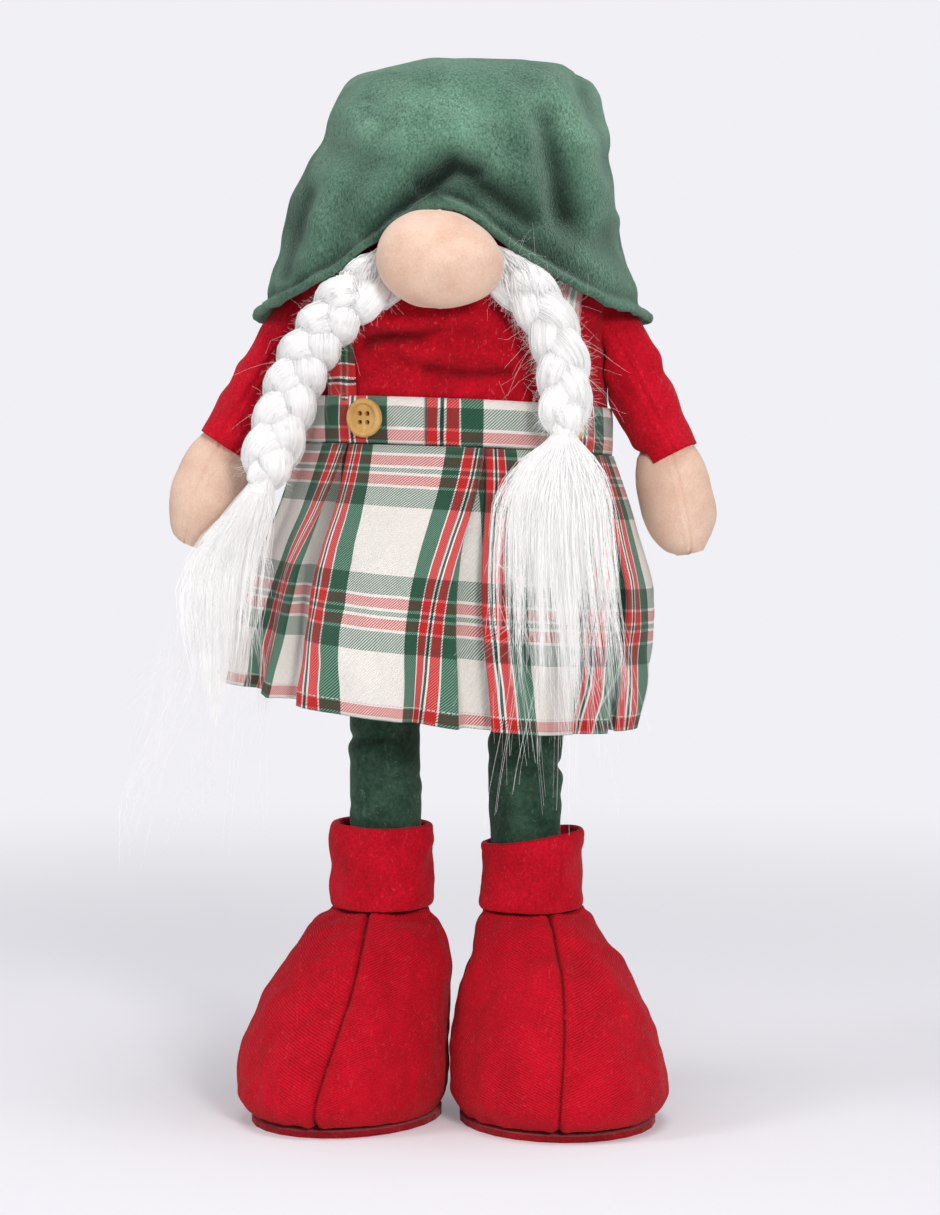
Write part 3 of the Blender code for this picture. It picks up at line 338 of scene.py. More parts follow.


class Paint:
    """Builds one procedural material."""

    def __init__(self, name, roughness=0.9, sheen=0.0, sheen_tint=(1, 1, 1), specular=0.25):
        self.material = bpy.data.materials.new(name)
        self.material.use_nodes = True
        self.tree = self.material.node_tree
        self.shader = self.tree.nodes["Principled BSDF"]
        self.shader.inputs["Roughness"].default_value = roughness
        self.shader.inputs["Specular IOR Level"].default_value = specular
        self.shader.inputs["Sheen Weight"].default_value = sheen
        self.shader.inputs["Sheen Roughness"].default_value = 0.45
        self.shader.inputs["Sheen Tint"].default_value = (*sheen_tint, 1.0)
        coordinates = self.tree.nodes.new("ShaderNodeTexCoord")
        self.place = coordinates.outputs["Object"]
        self.uv = coordinates.outputs["UV"]

    def put(self, socket, value):
        if isinstance(value, bpy.types.NodeSocket):
            self.tree.links.new(value, socket)
        elif value is not None:
            size = len(socket.default_value) if hasattr(socket.default_value, "__len__") else 0
            socket.default_value = (*value, 1.0) if size == 4 and len(value) == 3 else value

    def add(self, kind, inputs=(), output=0, **settings):
        node = self.tree.nodes.new(kind)
        for name, value in settings.items():
            setattr(node, name, value)
        for socket, value in dict(inputs).items():
            self.put(node.inputs[socket], value)
        return node.outputs[output]

    def math(self, operation, *values):
        return self.add("ShaderNodeMath", enumerate(values), operation=operation)

    def mix(self, share, first, second, blend="MIX"):
        inputs = {0: share, 6: first, 7: second}
        return self.add("ShaderNodeMix", inputs, output=2, data_type="RGBA", blend_type=blend)

    def noise(self, scale, detail=2.0, place=None, distortion=0.0, roughness=0.5):
        inputs = {
            "Vector": place or self.place, "Scale": scale, "Detail": detail,
            "Distortion": distortion, "Roughness": roughness,
        }
        return self.add("ShaderNodeTexNoise", inputs)

    def span(self, value, low, high, to_low=0.0, to_high=1.0):
        inputs = {0: value, 1: low, 2: high, 3: to_low, 4: to_high}
        return self.add("ShaderNodeMapRange", inputs)

    def stretch(self, scale, turn=(0.0, 0.0, 0.0), place=None):
        inputs = {"Vector": place or self.place, "Rotation": turn, "Scale": scale}
        return self.add("ShaderNodeMapping", inputs)

    def parts(self, vector):
        node = self.tree.nodes.new("ShaderNodeSeparateXYZ")
        self.tree.links.new(vector, node.inputs[0])
        return node.outputs

    def shaded(self, colour, darkest, palest):
        """Paints shade into hollows and light onto ridges, by each vertex's painted light and shade."""
        tone = self.add("ShaderNodeAttribute", output="Fac", attribute_name=PAINTED_LIGHT_AND_SHADE)
        dark = self.span(tone, -1.0, 0.0, darkest, 1.0)
        pale = self.span(tone, 0.0, 1.0, 1.0, palest)
        return self.mix(1.0, colour, self.math("MULTIPLY", dark, pale), "MULTIPLY")

    def bands(self, value, stops):
        """Plain bands of colour, each from its place in the list of stops to the next."""
        node = self.tree.nodes.new("ShaderNodeValToRGB")
        self.tree.links.new(value, node.inputs[0])
        bar = node.color_ramp
        bar.interpolation = "CONSTANT"
        while len(bar.elements) < len(stops):
            bar.elements.new(1.0)
        for element, (place, colour) in zip(bar.elements, stops):
            element.position = place
            element.color = (*colour, 1.0)
        return node.outputs[0]

    def finish(self, colour, height=None, distance=0.0005, strength=1.0, roughness=None):
        self.put(self.shader.inputs["Base Color"], colour)
        if height is not None:
            inputs = {"Height": height, "Distance": distance, "Strength": strength}
            self.put(self.shader.inputs["Normal"], self.add("ShaderNodeBump", inputs))
        if roughness is not None:
            self.put(self.shader.inputs["Roughness"], roughness)
        return self.material


def plush():
    """Short green pile in streaks, brushed lighter and darker in patches, with painted light and shade."""
    paint = Paint("green_plush", 0.95, 0.35, (0.72, 1.0, 0.84), 0.1)
    lean = paint.noise(14.0, 2.0, distortion=0.6)
    first = paint.noise(1150.0, 4.0, paint.stretch((1.0, 1.0, 0.55), (0.3, 0.75, 0.0)), 0.5, 0.6)
    second = paint.noise(1150.0, 4.0, paint.stretch((1.0, 1.0, 0.55), (-0.2, -0.95, 0.4)), 0.5, 0.6)
    which = paint.span(lean, 0.42, 0.58)
    pile = paint.add("ShaderNodeMix", {0: which, 2: first, 3: second})
    brushed = paint.noise(30.0, 4.0, distortion=0.7, roughness=0.5)
    # Painted light: the pile gets paler towards the top of the hat, as if lit from above.
    high = paint.span(paint.parts(paint.place)[2], HAT_TOP_LIT_FROM, HAT_TOP_LIT_TO, 0.0, 0.16)
    tone = paint.math("ADD", paint.span(brushed, 0.30, 0.70, 0.0, 0.84), high)
    base = paint.mix(tone, (0.044, 0.102, 0.068), (0.100, 0.190, 0.135))
    tips = paint.mix(paint.span(pile, 0.32, 0.68), (0.42, 0.46, 0.44), (1.62, 1.56, 1.58))
    colour = paint.mix(1.0, base, tips, "MULTIPLY")
    # Painted shade in the hollows and dark patches, painted light on ridges, pale patches and the hem.
    colour = paint.shaded(colour, 0.13, 1.75)
    return paint.finish(colour, pile, 0.0014, 1.0)


SEAM_SHADE = (0.42, 0.38, 0.38)


def ribbed(paint, rib, colour, fine):
    """Adds slanting ribs, by UVs that count from the front seam, with painted shade in their furrows and
    painted light on their crests, and darkens the seam itself.
    """
    pitch, slope = rib
    across, along, _ = paint.parts(paint.uv)
    wobble = paint.math("MULTIPLY", paint.noise(90.0), 0.0016)
    course = paint.math("ADD", paint.math("MULTIPLY", paint.math("ABSOLUTE", across), -slope), along)
    course = paint.math("ADD", course, wobble)
    wave = paint.math("SINE", paint.math("MULTIPLY", course, 2 * math.pi / pitch))
    patch = paint.span(paint.noise(26.0), 0.36, 0.62, 0.35, 1.0)
    wave = paint.math("MULTIPLY", wave, patch)
    height = paint.math("ADD", paint.math("MULTIPLY", wave, 0.26), fine)
    # Painted shade in the furrows of the ribs and painted light on their crests.
    tint = paint.mix(paint.span(wave, -1.0, 1.0), (0.74, 0.70, 0.70), (1.17, 1.21, 1.21))
    colour = paint.mix(1.0, colour, tint, "MULTIPLY")
    beside = paint.span(paint.math("ABSOLUTE", across), 0.0002, 0.0011)
    return paint.mix(beside, paint.mix(1.0, colour, SEAM_SHADE, "MULTIPLY"), colour), height


def felt(
    name, dark, light, sheen_tint, speck=760.0, hairs=0.35, rib=None, strength=0.7, sheen=0.35, grain=0.25
):
    """Pressed or brushed cloth with a mottled ground, fine specks, stray fibres and painted shade and light.
    """
    paint = Paint(name, 0.93, sheen, sheen_tint, 0.15)
    ground = paint.noise(60.0, 4.0, roughness=0.6)
    colour = paint.mix(paint.span(ground, 0.32, 0.68), dark, light)
    fine = paint.noise(speck, 3.0, roughness=0.65)
    shade = paint.mix(paint.span(fine, 0.30, 0.70), (1.0 - grain,) * 3, (1.0 + grain,) * 3)
    colour = paint.mix(1.0, colour, shade, "MULTIPLY")
    height = fine
    if rib:
        colour, height = ribbed(paint, rib, colour, fine)
    threads = paint.noise(420.0, 1.0, paint.stretch((1.0, 0.16, 0.5), (0.5, 0.9, 0.3)), 2.5)
    stray = paint.math("MULTIPLY", paint.span(threads, 0.66, 0.70), hairs)
    colour = paint.mix(stray, colour, tuple(min(1.0, 1.8 * part + 0.12) for part in light))
    # Painted shade in hollows and painted light on ridges, where a piece keeps them (the chest's creases).
    colour = paint.shaded(colour, 0.35, 1.25)
    return paint.finish(colour, height, 0.0006, strength)


# Yarn colours, and each half set of stripes as distances from its middle in millimetres.
CREAM = (0.88, 0.83, 0.785)
WHITE = (0.91, 0.88, 0.84)
WARP_GREEN = (0.0137, 0.078, 0.040)
WARP_RED = (0.60, 0.012, 0.013)
WARP_BLACK = (0.007, 0.021, 0.014)
WEFT_GREEN, WEFT_PINK = (0.047, 0.107, 0.078), (0.48, 0.030, 0.031)
WARP_SET = [
    (0.0, WARP_BLACK), (0.75, WHITE), (1.65, WARP_RED), (7.1, WHITE), (8.0, WARP_GREEN), (17.5, CREAM),
]
WEFT_SET = [
    (0.0, WEFT_GREEN), (0.95, CREAM), (2.2, WEFT_PINK), (7.2, CREAM), (8.5, WEFT_GREEN), (17.8, CREAM),
]
CHECK = 69.0  # from one set of stripes to the next, both ways
TWILL = 1.4  # between the diagonal lines of the weave
FIRST_WEFT = 12.4  # middle of the skirt's first crosswise set, below the waist seam
STITCH_ROW = 124.0  # the hem's stitching, below the waist seam
HEM_SHIFT = 18.6  # how far on the check starts in the turned hem under the stitching
STITCH, STITCH_HALF = 2.1, 0.26  # length from stitch to stitch, and half the width of the thread


def tartan(name, hemmed=False):
    """Woven check from UVs in metres: warp stripes by u, weft stripes by v, in a diagonal twill."""
    paint = Paint(name, 0.88, 0.15, (1.0, 0.95, 0.9), 0.2)
    across, along, _ = paint.parts(paint.uv)
    place = along
    if hemmed:
        below = STITCH_ROW + 0.8 - FIRST_WEFT
        hem = paint.math("GREATER_THAN", along, below * MM)
        place = paint.math("ADD", along, paint.math("MULTIPLY", hem, HEM_SHIFT * MM))
    drift = paint.math("MULTIPLY", paint.math("SUBTRACT", paint.noise(60.0), 0.5), 0.0009)
    diagonal = paint.math("DIVIDE", paint.math("ADD", across, along), TWILL * MM)
    wave = paint.math("SINE", paint.math("MULTIPLY", diagonal, 2 * math.pi))
    over = paint.span(wave, -0.6, 0.6, 0.34, 0.95)
    under = paint.math("SUBTRACT", 1.0, over)
    layers = []
    for axis, stripes, cover in ((across, WARP_SET, over), (place, WEFT_SET, under)):
        share = paint.math("DIVIDE", paint.math("ADD", axis, drift), CHECK * MM)
        away = paint.math("ABSOLUTE", paint.math("SUBTRACT", share, paint.math("ROUND", share)))
        yarn = paint.bands(away, [(spot / CHECK, colour) for spot, colour in stripes])
        layers.append(paint.add("ShaderNodeGamma", {"Color": yarn, "Gamma": cover}))
    colour = paint.mix(1.0, layers[0], layers[1], "MULTIPLY")
    threads = paint.noise(1.0, 1.0, paint.stretch((5200.0, 420.0, 1.0), place=paint.uv))
    picks = paint.noise(1.0, 1.0, paint.stretch((420.0, 5200.0, 1.0), place=paint.uv))
    slub = paint.math("ADD", threads, picks)
    shade = paint.mix(paint.span(slub, 0.7, 1.3), (0.88, 0.88, 0.88), (1.1, 1.1, 1.1))
    colour = paint.mix(1.0, colour, shade, "MULTIPLY")
    height = paint.math("ADD", paint.math("MULTIPLY", wave, 0.5), slub)
    if hemmed:
        off = paint.math("ABSOLUTE", paint.math("SUBTRACT", along, (STITCH_ROW - FIRST_WEFT) * MM))
        line = paint.math("LESS_THAN", off, STITCH_HALF * MM)
        stitch = paint.math("FRACT", paint.math("DIVIDE", across, STITCH * MM))
        dash = paint.math("LESS_THAN", stitch, 0.62)
        colour = paint.mix(paint.math("MULTIPLY", line, dash), colour, (0.66, 0.61, 0.57))
    return paint.finish(colour, height, 0.0003, 0.9)


def hair(name, glow):
    """White hair: a little light of its own stands for what many thin strands pass on."""
    paint = Paint(name, 0.45, 0.2, (1.0, 1.0, 1.0), 0.35)
    streak = paint.noise(1.0, 2.0, paint.stretch((2600.0, 60.0, 1.0), place=paint.uv))
    tone = paint.math("ADD", streak, paint.math("MULTIPLY", paint.noise(90.0, 2.0), 0.6))
    colour = paint.mix(paint.span(tone, 0.5, 1.0), (0.76, 0.755, 0.76), (0.93, 0.92, 0.91))
    paint.shader.inputs["Emission Color"].default_value = (1.0, 0.995, 0.985, 1.0)
    paint.shader.inputs["Emission Strength"].default_value = glow
    return paint.finish(colour, streak, 0.0005, 0.5)


def wood(name, dark, light, grain=260.0, roughness=0.5):
    """Plain wood with its grain along Z."""
    paint = Paint(name, roughness, 0.0, specular=0.4)
    streak = paint.noise(grain, 4.0, paint.stretch((1.0, 0.4, 0.14), (0.0, 0.5, 0.2)), 0.4, 0.6)
    patch = paint.noise(70.0, 2.0)
    tone = paint.math("ADD", streak, paint.math("MULTIPLY", patch, 0.5))
    colour = paint.mix(paint.span(tone, 0.5, 1.0), dark, light)
    gloss = paint.span(streak, 0.3, 0.7, roughness + 0.12, roughness)
    return paint.finish(colour, streak, 0.0002, 0.5, gloss)


PLUSH = plush()
RED_SHEEN = (1.0, 0.4, 0.4)
RED_FLEECE = felt(
    "red_fleece", (0.32, 0.001, 0.008), (0.46, 0.002, 0.013), (1.0, 0.3, 0.35), 620.0, 0.2, sheen=0.12
)
RED_FELT = felt(
    "red_felt", (0.40, 0.002, 0.011), (0.54, 0.003, 0.018), RED_SHEEN, 760.0, 0.12, sheen=0.12
)
RIBS = (0.00125, 0.42)  # pitch in metres, and how steeply they rise away from the front seam
BOOT_FELT = felt(
    "boot_felt", (0.45, 0.002, 0.012), (0.57, 0.003, 0.017), RED_SHEEN, 800.0, 0.1, RIBS,
    strength=0.9, sheen=0.10, grain=0.16,
)
PEACH = felt(
    "peach_felt", (0.68, 0.445, 0.335), (0.77, 0.555, 0.440), (1.0, 0.9, 0.84), 1000.0, 0.0,
    strength=0.4, sheen=0.3, grain=0.08,
)
GREEN_FELT = felt(
    "green_felt", (0.014, 0.040, 0.025), (0.040, 0.086, 0.056), (0.6, 0.8, 0.7), 420.0, 0.2,
    sheen=0.25, grain=0.35,
)
SOLE_FELT = felt("sole_felt", (0.20, 0.003, 0.008), (0.34, 0.006, 0.014), RED_SHEEN, 700.0, 0.1)
PELLET_BAG = felt("pellet_bag", (0.55, 0.54, 0.51), (0.72, 0.71, 0.68), (1, 1, 1), 900.0, 0.1)
SKIRT_CHECK = tartan("skirt_check", hemmed=True)
CHECKED = tartan("checked_cotton")
HAIR = hair("plaited_hair", 0.02)
LOOSE_HAIR = hair("loose_hair", 0.16)
BUTTON_WOOD = wood("button_wood", (0.42, 0.215, 0.055), (0.64, 0.385, 0.125))
DOWEL_WOOD = wood("dowel_wood", (0.45, 0.31, 0.16), (0.64, 0.48, 0.29), 200.0, 0.7)


def dress(piece, slot, *nodes):
    """Hangs a finished piece on the root empty, in place of the nodes, which it hides, if any are named."""
    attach(piece, "root")
    if nodes:
        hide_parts(*nodes)
    return piece


# Hat

BRIM = [
    (-180, 368), (-135, 370), (-90, 374), (-53, 383.5), (-34, 394.0), (-22.5, 406.0), (-11, 420.5),
    (0, 427.5), (11, 420), (22.5, 405.5), (34, 395), (53, 381.5), (90, 374), (135, 370), (180, 368),
]
HAT_TOP = 498.0
HAT_CLOTH = 3.6
HAT_VOXEL = 2.0  # size of the mesh that joins crown and tail into one cloth
HEAD_DEPTH = 16.0  # from the outside of the hat to the stuffed head, clear of the hat's hollows
# Share of the way up, height below the top, half width, half depth, middle x and y, squareness.
CROWN = [
    (0.00, 66.0, 92.5, 76.0, -1.0, 2.0, 2.0),
    (0.45, 66.0, 82.5, 73.5, -2.0, 3.0, 2.1),
    (1.00, 66.0, 76.5, 70.5, -1.0, 4.0, 2.2),
    (1.00, 33.0, 66.0, 63.0, 5.0, 6.0, 2.5),
    (1.00, 15.0, 60.0, 54.5, 7.0, 8.0, 2.6),
    (1.00, 5.5, 49.0, 44.0, 9.0, 9.0, 2.6),
    (1.00, 1.0, 29.0, 26.0, 10.0, 10.0, 2.3),
]
TAIL_X = 7.0
# y, z, half width and half thickness of the tail, which hangs down the back.
TAIL = [
    (22, 478, 46, 15), (52, 476, 46, 16), (78, 456, 43, 14), (90, 425, 37, 11),
    (92, 392, 28, 9), (89, 360, 18, 7), (86, 338, 8, 5),
]
# Folds: x and z of both ends on the front, width and height. The negative ones are hollows, with
# painted shade in them, and the positive ones soft ridges beside them, with painted light on them.
HAT_FOLDS = [
    ((-9, 437), (5, 447), 6.0, -8.4),
    ((5, 447), (15, 443), 5.5, -7.6),
    ((-32, 414), (-9, 436), 5.5, -4.6),
    ((-34, 428), (-12, 450), 8.0, 2.6),
    ((12, 443), (38, 422), 6.5, -4.6),
    ((4, 461), (36, 440), 8.0, 3.2),
    ((46, 466), (54, 424), 7.5, -5.4),
    ((36, 462), (42, 434), 6.0, 2.4),
    ((61, 464), (70, 422), 7.0, 3.8),
    ((73, 450), (77, 430), 4.5, -2.6),
    ((-64, 434), (-76, 396), 4.5, -3.6),
    ((-50, 440), (-64, 402), 9.0, 2.8),
    ((-36, 470), (-24, 466), 3.0, -2.6),
    ((-38, 478), (-30, 474), 2.6, -2.2),
    ((-30, 460), (-22, 472), 3.0, -2.4),
    ((-48, 472), (-38, 462), 7.0, 2.0),
    ((-22, 452), (-16, 458), 7.0, 2.4),
    ((-58, 458), (-34, 448), 8.0, -2.4),
    ((18, 478), (40, 484), 8.0, -1.6),
    ((58, 490), (66, 468), 4.0, -4.2),
    ((48, 486), (58, 462), 6.0, 2.0),
    ((72, 418), (88, 402), 5.0, -2.6),
    ((62, 404), (82, 391), 6.0, 2.0),
    ((-42, 408), (-80, 386), 4.5, -2.6),
    ((30, 418), (66, 396), 4.5, -2.6),
]
# Where painted light and painted shade fall on the pile: x, z, half width, half height and amount.
HAT_LIGHT_AND_SHADE = [
    (8, 476, 48, 16, 0.85),
    (-6, 462, 26, 12, 0.45),
    (-36, 452, 18, 13, 0.05),
    (16, 434, 34, 12, -0.34),
    (-20, 424, 18, 13, -0.28),
    (52, 412, 22, 16, -0.30),
    (82, 440, 9, 30, 0.40),
    (60, 468, 15, 18, 0.45),
    (-72, 430, 14, 34, -0.42),
    (-58, 444, 7, 22, 0.24),
]


def brim_height(turns):
    """Height of the brim at each angle: the knots of BRIM joined by lines and then evened out."""
    knots, heights = zip(*BRIM)
    smooth_turns = np.linspace(-180, 180, 361)
    plain = np.interp(smooth_turns, knots, heights)
    for _ in range(30):
        plain = (np.roll(plain, 1) + 2 * plain + np.roll(plain, -1)) / 4
    return np.interp((np.degrees(turns) + 180) % 360 - 180, smooth_turns, plain)


def oval(turns, half_width, half_depth, x=0.0, y=0.0, squareness=2.0):
    """x and y at each angle of an oval, which squareness above 2 makes fuller in its corners."""
    across, along = np.sin(turns), np.cos(turns)
    power = 2.0 / squareness
    xs = x + half_width * np.sign(across) * np.abs(across) ** power
    return xs, y - half_depth * np.sign(along) * np.abs(along) ** power


def near_line(xs, zs, first, last):
    """Distance of each point from the stretch between two points, both in x and z."""
    first, last = np.array(first, float), np.array(last, float)
    way = last - first
    share = ((xs - first[0]) * way[0] + (zs - first[1]) * way[1]) / (way @ way)
    share = np.clip(share, 0.0, 1.0)
    return np.hypot(xs - first[0] - share * way[0], zs - first[1] - share * way[1])


def fold_lift(xs, zs, folds, spread=1.0):
    """Height that the folds give each point: the deepest hollow there plus the highest ridge."""
    hollow, ridge = np.zeros(xs.shape), np.zeros(xs.shape)
    for first, last, width, height in folds:
        lift = height * np.exp(-((near_line(xs, zs, first, last) / (spread * width)) ** 2))
        hollow, ridge = np.minimum(hollow, lift), np.maximum(ridge, lift)
    return hollow + ridge


def crown_grid(rows=96, columns=240):
    """Rings of the smooth crown from the brim to the top, and their angles."""
    turns = circle(columns)
    brim = brim_height(turns)
    sections = evenly(CROWN, rows)
    grid = np.zeros((rows, columns, 3))
    for row, (share, below, half_width, half_depth, x, y, squareness) in enumerate(sections):
        grid[row, :, 0], grid[row, :, 1] = oval(turns, half_width, half_depth, x, y, squareness)
        grid[row, :, 2] = brim + share * (HAT_TOP - below - brim)
    return grid, turns


def tail_grid(rows=50, columns=64):
    """Rings of the flat tail from the top of the crown to its tip."""
    turns = circle(columns)
    sections = evenly(TAIL, rows)
    course = unit(np.gradient(sections[:, :2], axis=0))
    grid = np.zeros((rows, columns, 3))
    for row, ((y, z, half_width, thickness), (run, rise)) in enumerate(zip(sections, course)):
        out = thickness * np.sin(turns)
        grid[row, :, 0] = TAIL_X + half_width * np.cos(turns)
        grid[row, :, 1], grid[row, :, 2] = y - rise * out, z + run * out
    return grid


def shade_folds(piece, folds, patches=(), hollow=5.0, extra=None):
    """Keeps on each vertex, as painted shade and painted light, how deep in a hollow or how far up a ridge
    it lies on the front.
    """
    spots, ways = points_of(piece)
    tone = fold_lift(spots[:, 0], spots[:, 2], folds, 0.85) / hollow
    for x, z, half_width, half_height, amount in patches:
        away = np.hypot((spots[:, 0] - x) / half_width, (spots[:, 2] - z) / half_height)
        tone += amount * bell(away, 0.0, 1.0)
    tone *= np.clip(-2.5 * ways[:, 1] + 0.6, 0.0, 1.0)
    if extra is not None:
        tone += extra(spots)
    layer = piece.data.attributes.new(PAINTED_LIGHT_AND_SHADE, "FLOAT", "POINT")
    layer.data.foreach_set("value", np.clip(tone, -1.0, 1.0).astype(np.float32))


def hem_light_and_shade(spots):
    """Painted light along the rolled hem, and a line of painted shade in the groove above it."""
    _, _, half_width, half_depth, *_ = CROWN[0]
    rise = spots[:, 2] - brim_height(np.arctan2(spots[:, 0] / half_width, -spots[:, 1] / half_depth))
    return 0.30 * bell(rise, 2.5, 3.0) - 0.55 * bell(rise, 8.6, 2.0)


def crown_shell():
    """Rings of the crown's cloth, down its inside and up its outside, with its folds and rolled hem."""
    outer, turns = crown_grid()
    normals = normals_of(outer)
    front = -normals[:, :, 1] > -0.15
    lift = fold_lift(outer[:, :, 0], outer[:, :, 2], HAT_FOLDS) * front
    behind = np.clip(normals[:, :, 1], 0.0, 1.0)
    lift += behind * 2.2 * ripple(outer * (1.0, 1.0, 0.6), 46.0, 3)
    lift += 0.7 * ripple(outer, 26.0, 4)
    rise = outer[:, :, 2] - brim_height(turns)
    lift *= 0.25 + 0.75 * step(rise, 2.0, 12.0)
    lift += 2.8 * bell(rise, 2.8, 3.0) - 2.2 * bell(rise, 8.4, 2.2)
    lift += 1.1 * ripple(outer, 17.0, 5) * bell(rise, 3.0, 5.0)
    outer = outer + normals * lift[:, :, None]
    inner = outer - normals_of(blur(outer, 6)) * HAT_CLOTH
    return np.concatenate([inner[::-1], outer])


def make_hat():
    points, faces = closed_rings(crown_shell())
    tail = tail_grid()
    tail = tail + normals_of(tail) * (1.6 * ripple(tail * (1.0, 1.0, 0.35), 30.0, 8))[:, :, None]
    tail_points, tail_faces = closed_rings(tail)
    faces = np.concatenate([faces, tail_faces + len(points)])
    points = np.concatenate([points, tail_points])
    hat = mesh_piece("hat", world(points), faces)
    remesh = hat.modifiers.new("joined", "REMESH")
    remesh.mode = "VOXEL"
    remesh.voxel_size = HAT_VOXEL * MM
    relax = hat.modifiers.new("relaxed", "SMOOTH")
    relax.iterations = 2
    apply_modifiers(hat, PLUSH)
    # Painted shade in the hat's hollows, painted light on its ridges and rolled hem, and painted patches of
    # both.
    shade_folds(hat, HAT_FOLDS, HAT_LIGHT_AND_SHADE, 7.0, hem_light_and_shade)
    dress(hat, "green_plush", "hat")


# Body, nose, arms

# Height, half width and half depth of the body.
BODY = [
    (205, 58, 43), (214, 67, 53), (240, 72, 59), (290, 72, 60),
    (345, 72, 60), (375, 74, 61), (405, 73, 60), (425, 71, 61),
]
BODY_LOW, BODY_HIGH = 206.0, 428.0  # first and last ring of the body below the head
# Wrinkles of the fleece across the chest: x and z of both ends, width and height.
CHEST_FOLDS = [
    ((-38, 366), (-30, 368.5), 2.4, -5.0),
    ((-30, 368.5), (-12, 369), 2.3, -5.4),
    ((-12, 369), (-2, 372), 2.0, -3.6),
    ((-2, 372), (14, 371), 2.6, -1.8),
    ((-26, 361), (-8, 354.5), 2.4, -2.6),
    ((-8, 354.5), (10, 351.5), 2.6, -4.8),
    ((10, 351.5), (30, 353), 2.2, -4.0),
    ((-32, 376), (18, 378), 5.0, 2.6),
    ((-30, 362), (30, 361), 4.0, 2.4),
    ((-34, 346), (14, 344), 4.0, 1.8),
    ((10, 384), (34, 378), 3.6, -1.6),
]
NECK_DEPTH = 11.0  # how far the front goes back behind the nose and the hat
HEAD_ROWS, HEAD_FIRST = 40, 16  # rings of the crown that the head follows, and its first one


def body_half(height):
    heights, widths, depths = zip(*BODY)
    return np.interp(height, heights, widths), np.interp(height, heights, depths)


def make_torso():
    columns = 160
    turns = circle(columns)
    heights = np.linspace(BODY_LOW, BODY_HIGH, 150)
    rows = [np.stack([*oval(turns, *body_half(z)), np.full(columns, z)], axis=1) for z in heights]
    grid = blur(np.array(rows), 6)
    normals = normals_of(grid)
    front = normals[:, :, 1] < 0
    heights = grid[:, :, 2]
    lift = 0.5 * ripple(grid, 30.0, 11)
    lift += fold_lift(grid[:, :, 0], heights, CHEST_FOLDS) * front
    lift *= step(heights, 330.0, 345.0)
    lift -= NECK_DEPTH * step(heights, 400.0, 424.0) * front
    grid = grid + normals * lift[:, :, None]
    head = crown_grid(HEAD_ROWS, columns)[0][HEAD_FIRST:]
    head = head - normals_of(head) * HEAD_DEPTH
    torso = closed_piece("torso", np.concatenate([grid, head]), RED_FLEECE)
    # Painted shade in the chest's creases and painted light on the rolls between them.
    shade_folds(torso, CHEST_FOLDS, hollow=5.5)
    dress(torso, "red_fleece", "torso")


NOSE_MIDDLE, NOSE_HALF = (0.0, -79.0, 403.6), (29.0, 23.5, 22.4)
NOSE_BACK = -56.0  # y of its flat back, on the body


def make_nose():
    rows, columns = 60, 96
    rise = np.linspace(-math.pi / 2, math.pi / 2, rows)[:, None]
    turns = circle(columns)
    level = np.broadcast_to(np.sin(rise), (rows, columns))
    ball = np.stack([np.cos(rise) * np.sin(turns), -np.cos(rise) * np.cos(turns), level], axis=-1)
    shape = ball.copy()
    shape[:, :, 2] -= 0.07 * ball[:, :, 0] * (1 + level)
    shape[:, :, 0] *= 1.0 - 0.05 * level
    grid = np.array(NOSE_MIDDLE) + shape * NOSE_HALF
    grid = grid + normals_of(grid) * (0.30 * ripple(grid, 22.0, 21))[:, :, None]
    grid[:, :, 1] = np.minimum(grid[:, :, 1], NOSE_BACK)
    nose = closed_piece("nose", grid, PEACH)
    dress(nose, "peach_felt", "nose")


# Ends of the line that each arm piece is drawn round.
ARM_LINES = {
    "left_sleeve": ((-59, -2, 389), (-104.5, -9, 320)),
    "right_sleeve": ((60, -2, 388), (98.2, -10, 318)),
    "left_hand": ((-106, -9, 317), (-126, -10, 269.5)),
    "right_hand": ((99.3, -10, 315), (110, -10, 266.5)),
}
ARM_SEAM = 16.0  # degrees outwards from the front
SEAM_WIDTH = 3.6  # degrees


def make_arms():
    """Sleeves and hands, each with a sewn seam down its front and its back."""
    for name, (start, end) in ARM_LINES.items():
        is_hand = "hand" in name
        spread, longer = (1.6, 0.0) if is_hand else (1.0, 1.2)
        grid, shares, turns = wrapped(name, start, end, 70, 100, spread, longer)
        grid = blur(grid, 10)
        if np.sum(normals_of(grid) * (grid - grid.mean(axis=1, keepdims=True))) < 0:
            grid, turns = grid[:, ::-1], turns[::-1]
        degrees = np.degrees(turns) * (1 if name.startswith("right") else -1)
        away = (degrees - ARM_SEAM + 180) % 360 - 180
        behind = (degrees + 180 - ARM_SEAM + 180) % 360 - 180
        groove = bell(away, 0.0, SEAM_WIDTH) + bell(behind, 0.0, SEAM_WIDTH)
        lift = (-0.9 * groove + 0.35 * bell(np.abs(away), 9.0, 5.0))[None, :]
        lift = lift + 0.5 * ripple(grid, 26.0, len(name))
        if not is_hand:
            lift += 0.7 * ripple(grid, 15.0, 23) * bell(shares, 0.55, 0.3)[:, None]
        lift *= step(shares, 0.0, 0.06)[:, None]
        grid = grid + normals_of(grid) * lift[:, :, None]
        material, slot = (PEACH, "peach_felt") if is_hand else (RED_FELT, "red_felt")
        piece = closed_piece(name, grid, material)
        dress(piece, slot, name)


# Dress

